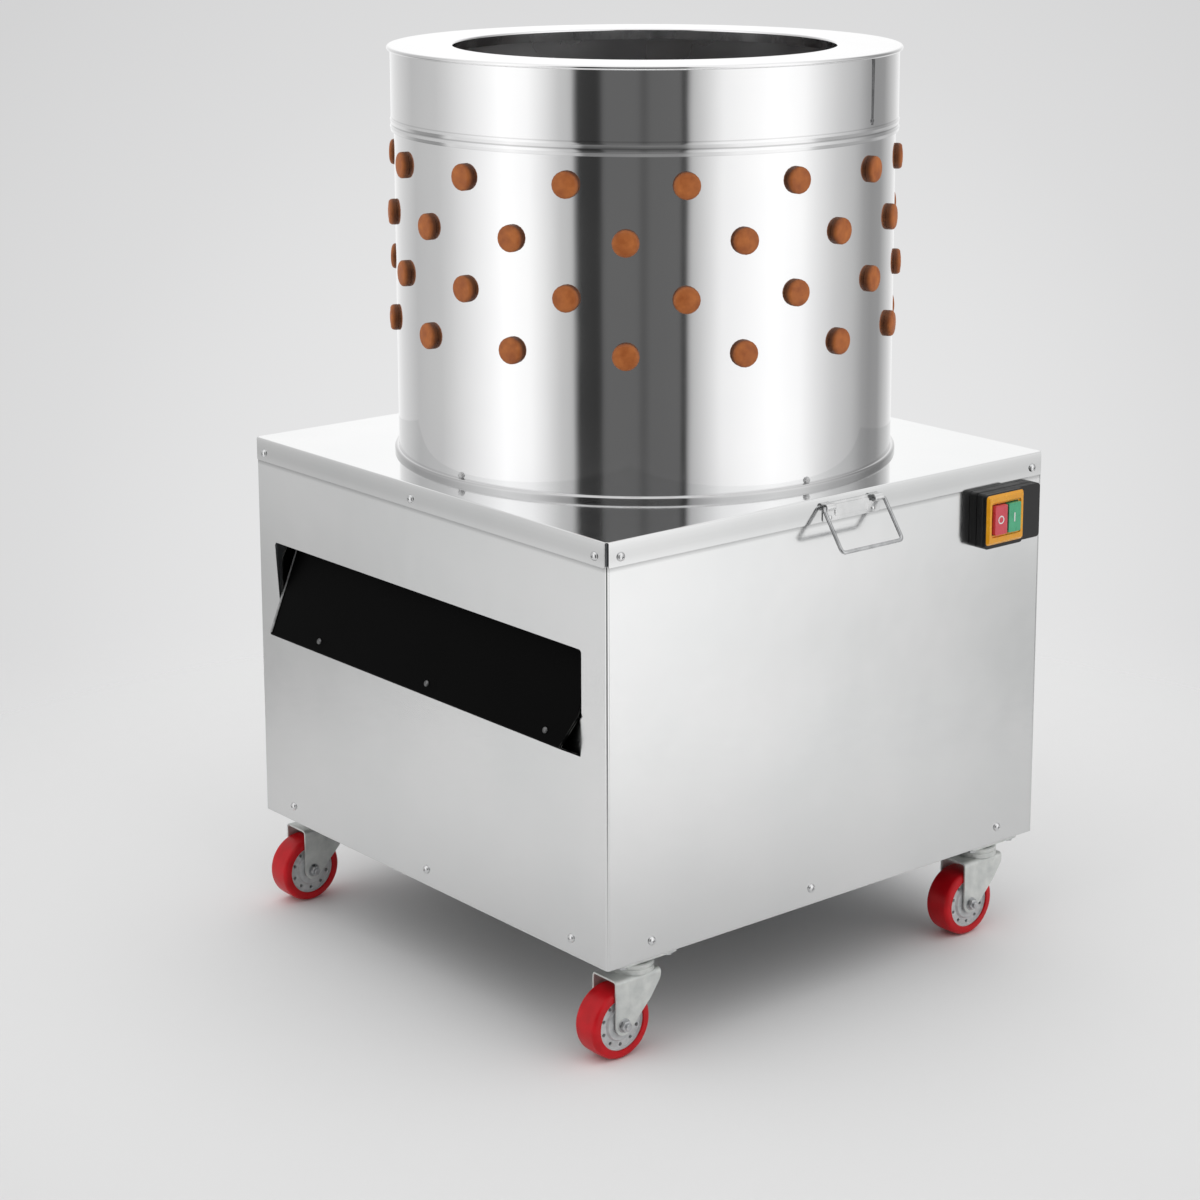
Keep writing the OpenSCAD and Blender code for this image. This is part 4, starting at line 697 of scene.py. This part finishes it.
cap = spun(
    "hub_dome", [(0.04, cap_low), (0.042, cap_low + 0.001), (0.042, cap_low + 0.012),
    (0.0408, shoulder)] + crown, 64)
soften(cap)
hand_in(cap, table_steel, "turntable", "satin_steel", "hub_cap")
dress("sweep_paddles", mill_steel, 0.0004)


# Drive: a turned steel shaft in two ball bearings, in a cast-iron housing that hangs under the beams. A
# V-belt runs from the small motor pulley to the large driven one.
turned_steel = finish(
    "turned_steel", (150, 151, 153), (184, 185, 187), (0.22, 0.36), 30, metal=1, stretch=(40, 40, 2400),
    lift=0.00002, streak=0.06)
cast_iron = finish("cast_iron", (58, 60, 63), (76, 78, 81), (0.55, 0.72), 40, stretch=520, lift=0.0004)
belt_rubber = finish(
    "belt_rubber", (22, 22, 23), (38, 38, 38), (0.6, 0.78), 60, stretch=(240, 240, 2600), lift=0.0002)
for node, material, round_off in (
        ("main_shaft", turned_steel, 0.0006), ("motor_shaft", turned_steel, 0.0005),
        ("shaft_bearings", turned_steel, 0.0003), ("bearing_housing", cast_iron, 0.001),
        ("driven_pulley", cast_iron, 0.0006), ("motor_pulley", cast_iron, 0.0005),
        ("drive_belt", belt_rubber, 0.0004)):
    dress(node, material, round_off)


# Motor: a foot-mounted single-phase motor in blue-grey enamel. Its housing has cooling fins, a pressed fan
# cover closes its lower end, and a terminal box and a capacitor sit on its sides.
motor_enamel = finish(
    "motor_enamel", (62, 84, 104), (74, 97, 118), (0.34, 0.48), 26, stretch=420, lift=0.00012,
    edge_wear_and_highlight=(128, 132, 136))
for node in ("motor_body", "fan_cover", "terminal_box"):
    dress(node, motor_enamel, 0.001)
capacitor_black = finish(
    "capacitor_black", (28, 29, 31), (40, 41, 43), (0.36, 0.5), 40, stretch=600, lift=0.00008)
dress("capacitor", capacitor_black, 0.002)


# Switch: a push-button unit in a moulded black housing on the right-hand panel. A fine joint runs round it
# between base and cover, and a glossy yellow plate round the buttons sits in the cover's raised front.
def corners_of(low, high):
    """Tests that find the four edges of a block that run along X."""
    return [lambda p, y=y, z=z: abs(p.y - y) < near and abs(p.z - z) < near
            for y in (low[1], high[1]) for z in (low[2], high[2])]


def round_box(wide, high, radius):
    """The outline of a rounded rectangle round the origin."""
    x, y = wide / 2 - radius, high / 2 - radius
    return [place for k, (a, b) in enumerate(((x, y), (-x, y), (-x, -y), (x, -y)))
            for place in arc(radius, a, b, 90 * k, 90 * k + 90, 5)]


def on_right(name, wide, high, radius, back, front, y, z):
    """A rounded plate that stands out of the right-hand side, from one X to another, round a middle."""
    piece = cut_plate(name, round_box(wide, high, radius), front - back)
    piece.data.transform(at(back, y, z) @ on_side)
    return piece


low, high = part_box("switch_box")
joint, cover_wide, box_round = low.x + 0.006, 0.066, 0.005
housing = block("switch_housing", low, high)
pick("edges", *corners_of(low, high))
bpy.ops.mesh.bevel(offset=box_round, segments=6)
pick("edges", lambda p: p.x > high.x - near)
bpy.ops.mesh.bevel(offset=0.0018, segments=4)
bpy.ops.mesh.select_all(action="SELECT")
bpy.ops.mesh.bisect(plane_co=(joint, 0, 0), plane_no=(1, 0, 0))
bpy.ops.mesh.bevel(offset=0.0005, segments=1)
pick("faces", lambda p: abs(p.x - joint) < 0.0008)
bpy.ops.mesh.extrude_region_shrink_fatten(TRANSFORM_OT_shrink_fatten={"value": -0.0008})
soften(housing)
cover = on_right(
    "cover", cover_wide, high.z - low.z, box_round, high.x - 0.001, high.x + 0.005, low.y + cover_wide / 2,
    (low.z + high.z) / 2)
soften(cover, 0.0012, 3)
housing = join("switch_housing", [housing, cover])
moulded_black = finish(
    "moulded_black", (13, 13, 14), (20, 20, 21), (0.34, 0.46), 60, stretch=1500, lift=0.00006)
hand_in(housing, moulded_black, "cabinet", "black_plastic", "switch_box")

low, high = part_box("switch_plate")
middle = (low + high) / 2
step_deep = 0.0022
plate = on_right("switch_frame", 0.064, 0.061, 0.004, low.x, high.x, middle.y, middle.z)
work_on(plate)
pick("edges", lambda p: p.x > high.x - near)
bpy.ops.mesh.bevel(offset=0.003, segments=1)
cut_out(
    plate, on_right("step", 0.05, 0.0424, 0.0026, high.x - step_deep, high.x + 0.002, middle.y, middle.z))
cut_out(plate, on_right("well", 0.046, 0.0376, 0.0022, low.x - 0.002, high.x, middle.y, middle.z))
soften(plate, 0.0006, 3)
gloss_yellow = finish(
    "gloss_yellow", (238, 160, 16), (246, 174, 28), (0.2, 0.3), 70, stretch=900, lift=0.00003, coat=0.3)
hand_in(plate, gloss_yellow, "cabinet", "yellow_plastic", "switch_plate")
plate.data.materials.append(moulded_black)
for face in plate.data.polygons:
    if face.normal.x < 0.3 and face.center.x < high.x - 0.002:
        face.material_index = 1


# Switch buttons: two moulded keys side by side, red to stop and green to start, each dished a little, with a
# ring or a bar printed on it in white.
white_print = finish("white_print", (232, 232, 230), (244, 244, 242), (0.4, 0.5), 200)
dish_deep, print_thick, half_bar = 0.0006, 0.0002, Vector((0, 0.0009, 0.0056))
for name, dark, light, slot in (
        ("stop_button", (212, 62, 78), (222, 74, 88), "red_plastic"),
        ("start_button", (62, 170, 122), (76, 182, 134), "green_plastic")):
    low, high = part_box(name)
    middle, front = (low + high) / 2, high.x
    key = on_right(name + "_key", 0.021, 0.036, 0.002, front - 0.012, front, middle.y, middle.z)
    work_on(key)
    pick("faces", lambda p: p.x > front - near)
    bpy.ops.mesh.inset(thickness=0.0017, depth=-dish_deep)
    soften(key, 0.0005, 3)
    gloss = finish(name + "_gloss", dark, light, (0.24, 0.34), 80, stretch=900, lift=0.00003, coat=0.3)
    hand_in(key, gloss, name, slot, name)
    middle.x = front - dish_deep
    if name == "stop_button":
        mark = spun(
            "stop_ring", [(0.0036, 0), (0.0036, print_thick), (0.0051, print_thick), (0.0051, 0)], 40,
            loop=True)
        mark.data.transform(at(*middle) @ about("Y", 90))
    else:
        low, high = middle - half_bar, middle + half_bar
        mark = block("start_bar", low - Vector((0.0003, 0, 0)), high + Vector((print_thick, 0, 0)))
        pick("edges", *corners_of(low, high))
        bpy.ops.mesh.bevel(offset=0.0004, segments=2)
    soften(mark)
    hand_in(mark, white_print, name, slot)


# Cable gland: black nylon, moulded, screwed into the back panel. It has a hexagon body, a ribbed dome nut, a
# threaded sleeve through the sheet and a locknut inside.
nut_out, bore, thread = 0.0135, 0.005, 0.0098
body = [(thread, 0), (nut_out, 0), (nut_out, 0.0054), (0.0126, 0.006), (thread, 0.006)]
dome = [
    (bore, 0.006), (0.0112, 0.006), (0.0116, 0.0072), (0.0116, 0.011), (0.011, 0.0136), (0.0096, 0.016),
    (0.008, 0.0173), (0.0062, 0.0175), (bore, 0.0168)]
sleeve = [(bore, -0.0102), (0.0096, -0.0102), (0.0099, -0.0098), (0.0099, 0.0059), (bore, 0.0059)]
locknut = [(thread, -0.0072), (nut_out, -0.0072), (nut_out, -0.0012), (thread, -0.0012)]
parts = [spun("gland", profile, turns, loop=True)
         for profile, turns in ((body, 6), (dome, 48), (sleeve, 48), (locknut, 6))]
work_on(parts[1])
pick("faces", *[lambda p, a=a: 0.0071 < p.z < 0.0111 and p.xy.length > 0.011
                and abs((math.degrees(math.atan2(p.y, p.x)) - a + 180) % 360 - 180) < 4.5
                for a in range(4, 360, 15)])
bpy.ops.mesh.extrude_region_shrink_fatten(TRANSFORM_OT_shrink_fatten={"value": 0.0005})
gland = join("gland_body", parts)
soften(gland, 0.0003, 1)
gland.data.transform(facing(2, -0.22, panel_out, 0.238))
hand_in(gland, moulded_black, "cabinet", "black_plastic", "cable_gland")


# Handles: a stamped stainless bracket on each side lip, with a blank raised field and two rolled knuckles,
# and a bail of bent stainless wire that swings in the knuckles.
handle_steel = finish(
    "handle_steel", (214, 215, 215), (232, 232, 232), (0.16, 0.26), 60, metal=1, stretch=(900, 60, 900),
    lift=0.00001, streak=0.06)
wire_steel = finish(
    "wire_steel", (172, 173, 174), (204, 205, 206), (0.14, 0.24), 90, metal=1, stretch=300,
    lift=0.00001)
hinge = Vector((0.3494, 0.0185, 0.5945))
knuckle_in, knuckle_out, knuckle_half, knuckle_at = 0.0024, 0.0044, 0.007, 0.03835
bail_half, bail_deep, bail_end, bail_rest = 0.048, 0.056, 0.033, -35
bends = rounded(
    [(-bail_end, 0), (-bail_half, 0), (-bail_half, -bail_deep), (bail_half, -bail_deep), (bail_half, 0),
    (bail_end, 0)], 0.005)
for side, turned in (("right", Matrix.Identity(4)), ("left", at(0, 2 * hinge.y, 0) @ about("Z", 180))):
    bracket = cut_plate("bracket", round_box(0.0907, 0.022, 0.003), 0.0015)
    bracket.data.transform(at(deck_half, hinge.y, 0.5879) @ on_side)
    field = cut_plate("field", round_box(0.054, 0.014, 0.003), 0.0012)
    field.data.transform(at(deck_half + 0.0014, hinge.y, 0.589) @ on_side)
    parts = [bracket, field]
    for y in (-knuckle_at, knuckle_at):
        knuckle = spun(
            "knuckle", [(knuckle_in, -knuckle_half), (knuckle_out, -knuckle_half),
            (knuckle_out, knuckle_half), (knuckle_in, knuckle_half)], 32, loop=True)
        knuckle.data.transform(at(hinge.x, hinge.y + y, hinge.z) @ about("X", -90))
        rivet = spun("pin", [(0.003, -0.0003), (0.003, 0.0004), (0.0022, 0.0012), (0.0006, 0.0015)], 24)
        rivet.data.transform(at(deck_half + 0.0015, hinge.y + y * 0.9, 0.5812) @ about("Y", 90))
        parts += [knuckle, rivet]
    bracket = join("handle_bracket_" + side, parts)
    soften(bracket, 0.0004)
    bracket.data.transform(turned)
    hand_in(bracket, handle_steel, "cabinet", "handle_steel", "handle_plate_" + side)

    line = bpy.data.curves.new("bail", "CURVE")
    line.dimensions = "3D"
    line.bevel_depth = 0.00225
    line.bevel_resolution = 5
    line.use_fill_caps = True
    wire = line.splines.new("POLY")
    wire.points.add(len(bends) - 1)
    for point, (y, z) in zip(wire.points, bends):
        point.co = (0, y, z, 1)
    bail = bpy.data.objects.new("handle_wire_" + side, line)
    bpy.context.collection.objects.link(bail)
    work_on(bail, "OBJECT")
    bpy.ops.object.convert(target="MESH")
    bail = bpy.context.object
    soften(bail)
    bail.data.transform(turned @ at(*hinge) @ about("Y", bail_rest))
    hand_in(bail, wire_steel, "handle_" + side, "handle_steel", "handle_bail_" + side)


# Castors: swivel castors of zinc-plated pressings. Each has a top plate, a ball race, a fork bent from one
# blank, and a wheel of red polyurethane cast on a grey hub that turns on an axle bolt.
castor_zinc = finish(
    "castor_zinc", (197, 200, 198), (222, 224, 221), (0.3, 0.46), 70, metal=0.4, stretch=160,
    lift=0.00006, streak=0.06)
red_tread = finish(
    "red_tread", (186, 4, 18), (208, 10, 26), (0.34, 0.46), 55, stretch=420, lift=0.00005, shine=0.3)
grey_hub = finish(
    "grey_hub", (180, 183, 184), (205, 207, 208), (0.38, 0.52), 110, stretch=700, lift=0.00006)
pivots = {
    "front_left": (-0.311, -0.28), "front_right": (0.311, -0.28), "back_left": (-0.311, 0.28),
    "back_right": (0.311, 0.28)}
trail, axle_high, fork_half, fork_top, fork_thick = -0.03, 0.0415, 0.0211, 0.0962, 0.0025

top = cut_plate("top_plate", round_box(0.062, 0.084, 0.007), 0.0035)
top.data.transform(at(0, 0, 0.1145))
dish = spun(
    "dish", [(0.007, 0.1086), (0.0205, 0.1086), (0.0219, 0.1095), (0.0225, 0.112), (0.0245, 0.1146)], 48)
pin = spun(
    "kingpin", [(0.005, 0.0868), (0.009, 0.0872), (0.0096, 0.0884), (0.0096, 0.0909), (0.006, 0.0909),
    (0.006, 0.109)], 32)
tops = join("castor_top", [top, dish, pin])
soften(tops, 0.0005)
tops = set_out("castor_tops", tops, [at(x, y, 0) for x, y in pivots.values()])
hand_in(tops, castor_zinc, "cabinet", "zinc", "castor_plates")

path = rounded([(-fork_half, 0.02), (-fork_half, fork_top), (fork_half, fork_top), (fork_half, 0.02)], 0.005)
fork = bent_sheet("fork", 0.066, path, fork_thick)
fork.data.transform(at(0, -0.009, 0) @ about("Z", 90))
eye = arc(0.012, trail, axle_high, 180, 315, 9)
front_edge = rounded([eye[-1], (0.01, 0.0655), (0.0235, 0.085), (0.024, 0.1)], 0.012)[1:]
blank = cut_plate("blank", eye + front_edge + [(-0.042, 0.1)], 0.06)
blank.data.transform(at(-0.03, 0, 0) @ on_side)
cut_out(fork, blank, "INTERSECT")
race = spun(
    "race", [(0.0105, 0.0955), (0.0236, 0.0955), (0.024, 0.0965), (0.024, 0.1015), (0.0232, 0.1022),
    (0.0232, 0.103), (0.024, 0.1037), (0.024, 0.107), (0.0228, 0.1082), (0.0105, 0.1082)], 64, loop=True)
fork = join("fork", [fork, race])
soften(fork, 0.0005)


def both_halves(half):
    """A wheel's whole profile from that of its near half."""
    return half + [(r, -z) for r, z in reversed(half)]


half_tread = [(0.032, -0.0158), (0.0306, -0.016), (0.0306, -0.0168), (0.0314, -0.0179)]
half_tread += arc(0.0058, 0.0355, -0.0121, -90, 0, 6) + [(0.0415, -0.004)]
tread = spun("tread", both_halves(half_tread), 96, loop=True)
soften(tread)
half_hub = [
    (0.0041, -0.0183), (0.0082, -0.0183), (0.009, -0.0176), (0.0092, -0.015), (0.0104, -0.0146),
    (0.0112, -0.0162), (0.0186, -0.0162), (0.0196, -0.015), (0.0206, -0.0136), (0.0286, -0.0136),
    (0.0296, -0.0154), (0.0319, -0.0156)]
hub = spun("hub", both_halves(half_hub), 64, loop=True)
drills = []
for k in range(10):
    clear()
    bpy.ops.mesh.primitive_cylinder_add(vertices=20, radius=0.0022, depth=0.05)
    drills.append(bpy.context.object)
    drills[-1].data.transform(about("Z", 36 * k) @ at(0.0249, 0, 0))
cut_out(hub, join("drills", drills))
soften(hub, 0.0003, 1)
head, nut = hex_bolt("axle", 0.014, 0.0052, 0.0165), hex_bolt("nut", 0.014, 0.006, 0.0165)
shank = spun(
    "shank", [(0.0034, -0.02), (0.0039, -0.0192), (0.0039, 0.0292), (0.0034, 0.0298), (0.0006, 0.0298)], 32)
head.data.transform(at(0, 0, -fork_half) @ about("X", 180))
nut.data.transform(at(0, 0, fork_half))
axle = join("axle", [head, nut, shank])
for corner, (x, y) in pivots.items():
    stand = at(x, y, 0)
    wheel = stand @ at(0, trail, axle_high) @ about("Y", 90)
    for master, place, material, body, slot in (
            (fork, stand, castor_zinc, "swivel_", "zinc"),
            (axle, wheel, bolt_zinc, "swivel_", "fastener_steel"),
            (tread, wheel, red_tread, "wheel_", "red_urethane"),
            (hub, wheel, grey_hub, "wheel_", "hub_plastic")):
        copy = copy_to(master.name + "_part_" + corner, master, place)
        hand_in(copy, material, body + corner, slot, master.name + "_" + corner)
for master in (fork, axle, tread, hub):
    bpy.data.objects.remove(master)


# Studio: a plain pale floor that fades out round the object, a soft surround with two broad bright walls and
# a dimmer side where the camera stands, and the camera.
clear()
bpy.ops.mesh.primitive_circle_add(vertices=128, radius=1.7, fill_type="NGON")
floor = bpy.context.object
floor.name = "studio_floor"
floor_grey = bpy.data.materials.new("floor_grey")
floor_grey.use_nodes = True
tree = floor_grey.node_tree
surface = tree.nodes["Principled BSDF"].inputs
surface["Base Color"].default_value = tone(240, 240, 240)
surface["Roughness"].default_value = 0.85
far = put(tree, "VectorMath", {0: put(tree, "TexCoord")["Object"]}, operation="LENGTH")["Value"]
fade = put(
    tree, "MapRange", {"Value": far, "From Min": 0.55, "From Max": 1.65, "To Min": 1, "To Max": 0},
    interpolation_type="SMOOTHSTEP")["Result"]
below = put(tree, "NewGeometry")["Backfacing"]
shown = put(tree, "Math", {0: fade, 1: below}, operation="SUBTRACT", use_clamp=True)["Value"]
tree.links.new(shown, surface["Alpha"])
floor.data.materials.append(floor_grey)

azimuth, elevation, distance = math.radians(49.83), math.radians(11.68), 3.4917
to_camera = Vector((math.sin(azimuth), -math.cos(azimuth), 0))
to_right = Vector((math.cos(azimuth), math.sin(azimuth), 0))
back = to_camera * math.cos(elevation) + Vector((0, 0, math.sin(elevation)))
lens = bpy.data.cameras.new("camera")
lens.sensor_width = 36
lens.lens = 85.21
lens.shift_x, lens.shift_y = -0.0373, -0.17
lens.clip_end = 100
camera = bpy.data.objects.new("camera", lens)
camera.location = Vector((0, 0, 0.666)) + back * distance
camera.rotation_euler = (math.pi / 2 - elevation, 0, azimuth)
bpy.context.collection.objects.link(camera)
bpy.context.scene.camera = camera

surround = bpy.data.worlds.new("surround")
bpy.context.scene.world = surround
surround.use_nodes = True
tree = surround.node_tree
tree.nodes.clear()
look = put(tree, "TexCoord")["Generated"]


def along(direction):
    """How far the looking direction runs along another."""
    return put(tree, "VectorMath", {0: look, 1: direction}, operation="DOT_PRODUCT")["Value"]


bearing = put(tree, "Math", {0: along(to_right), 1: along(to_camera)}, operation="ARCTAN2")["Value"]
share = put(tree, "MapRange", {"Value": bearing, "From Min": -math.pi, "From Max": math.pi})["Result"]


def ring_of_walls(stops):
    """Brightness round the horizon, by the bearing from the camera in degrees, right being positive."""
    return ramp(tree, share, [((angle + 180) / 360, grey(value / 1.3)) for angle, value in stops])


upper = ring_of_walls(
    [(-180, 0.97), (-150, 0.68), (-128, 0.49), (-107, 0.54), (-100, 0.61), (-66, 1.08), (-53, 1),
    (-45, 0.78), (-38, 0.56), (-32.5, 0.5), (-30.2, 0.042), (-20, 0.034), (-18, 0.125), (-3.2, 0.124),
    (-0.6, 0.083), (2.6, 0.12), (15.6, 0.125), (16.5, 0.05), (18.3, 0.05), (20.2, 0.46), (35, 0.9),
    (60, 1.08), (75, 1), (84, 0.82), (96, 0.62), (110, 0.48), (119, 0.33), (126, 0.28), (136, 0.3),
    (146, 0.5), (160, 0.74), (180, 0.97)])
lower = ring_of_walls(
    [(-180, 0.95), (-150, 0.7), (-128, 0.3), (-110, 0.28), (-107.2, 0.37), (-105.4, 0.52), (-103.6, 0.64),
    (-101.4, 0.68), (-97, 0.66), (-66, 1), (-45, 0.7), (-32, 0.4), (-29, 0.09), (19, 0.11), (22, 0.4),
    (45, 0.9), (70, 1), (79.5, 0.95), (82.7, 0.88), (84.5, 0.75), (86.3, 0.62), (88.4, 0.52), (94, 0.44),
    (126, 0.34), (152, 0.74), (180, 0.95)])
level = along((0, 0, 1))
falling = put(tree, "MapRange", {"Value": level, "From Min": -0.222, "From Max": -0.268})["Result"]
rings = put(tree, "Mix", {0: falling, 6: upper, 7: lower}, data_type="RGBA")[2]
steep = put(tree, "Math", {0: level}, operation="ABSOLUTE")["Value"]
overhead = put(
    tree, "MapRange", {"Value": steep, "From Min": 0.45, "From Max": 0.85},
    interpolation_type="SMOOTHSTEP")["Result"]
dome = put(tree, "Mix", {0: overhead, 6: rings, 7: grey(0.72)}, data_type="RGBA")[2]
lit = put(tree, "Background", {"Color": dome, "Strength": 1.5})["Background"]

aim = -back - Vector((0, 0, 0.072))
zone = put(
    tree, "MapRange", {"Value": along(aim.normalized()), "From Min": 0.957, "From Max": 1})["Result"]
vignette = ramp(tree, zone, [
    (0, (0.655, 0.655, 0.658, 1)), (0.5, (0.716, 0.716, 0.719, 1)), (1, (0.825, 0.825, 0.828, 1))])
backdrop = put(tree, "Background", {"Color": vignette})["Background"]
ray = put(tree, "LightPath")
seen = put(
    tree, "Math", {0: ray["Is Camera Ray"], 1: ray["Is Transmission Ray"]}, operation="MAXIMUM")["Value"]
choose = put(tree, "MixShader", {"Fac": seen, 1: lit, 2: backdrop})["Shader"]
put(tree, "OutputWorld", {"Surface": choose})

bpy.context.scene.view_settings.view_transform = "Standard"
bpy.context.view_layer.update()
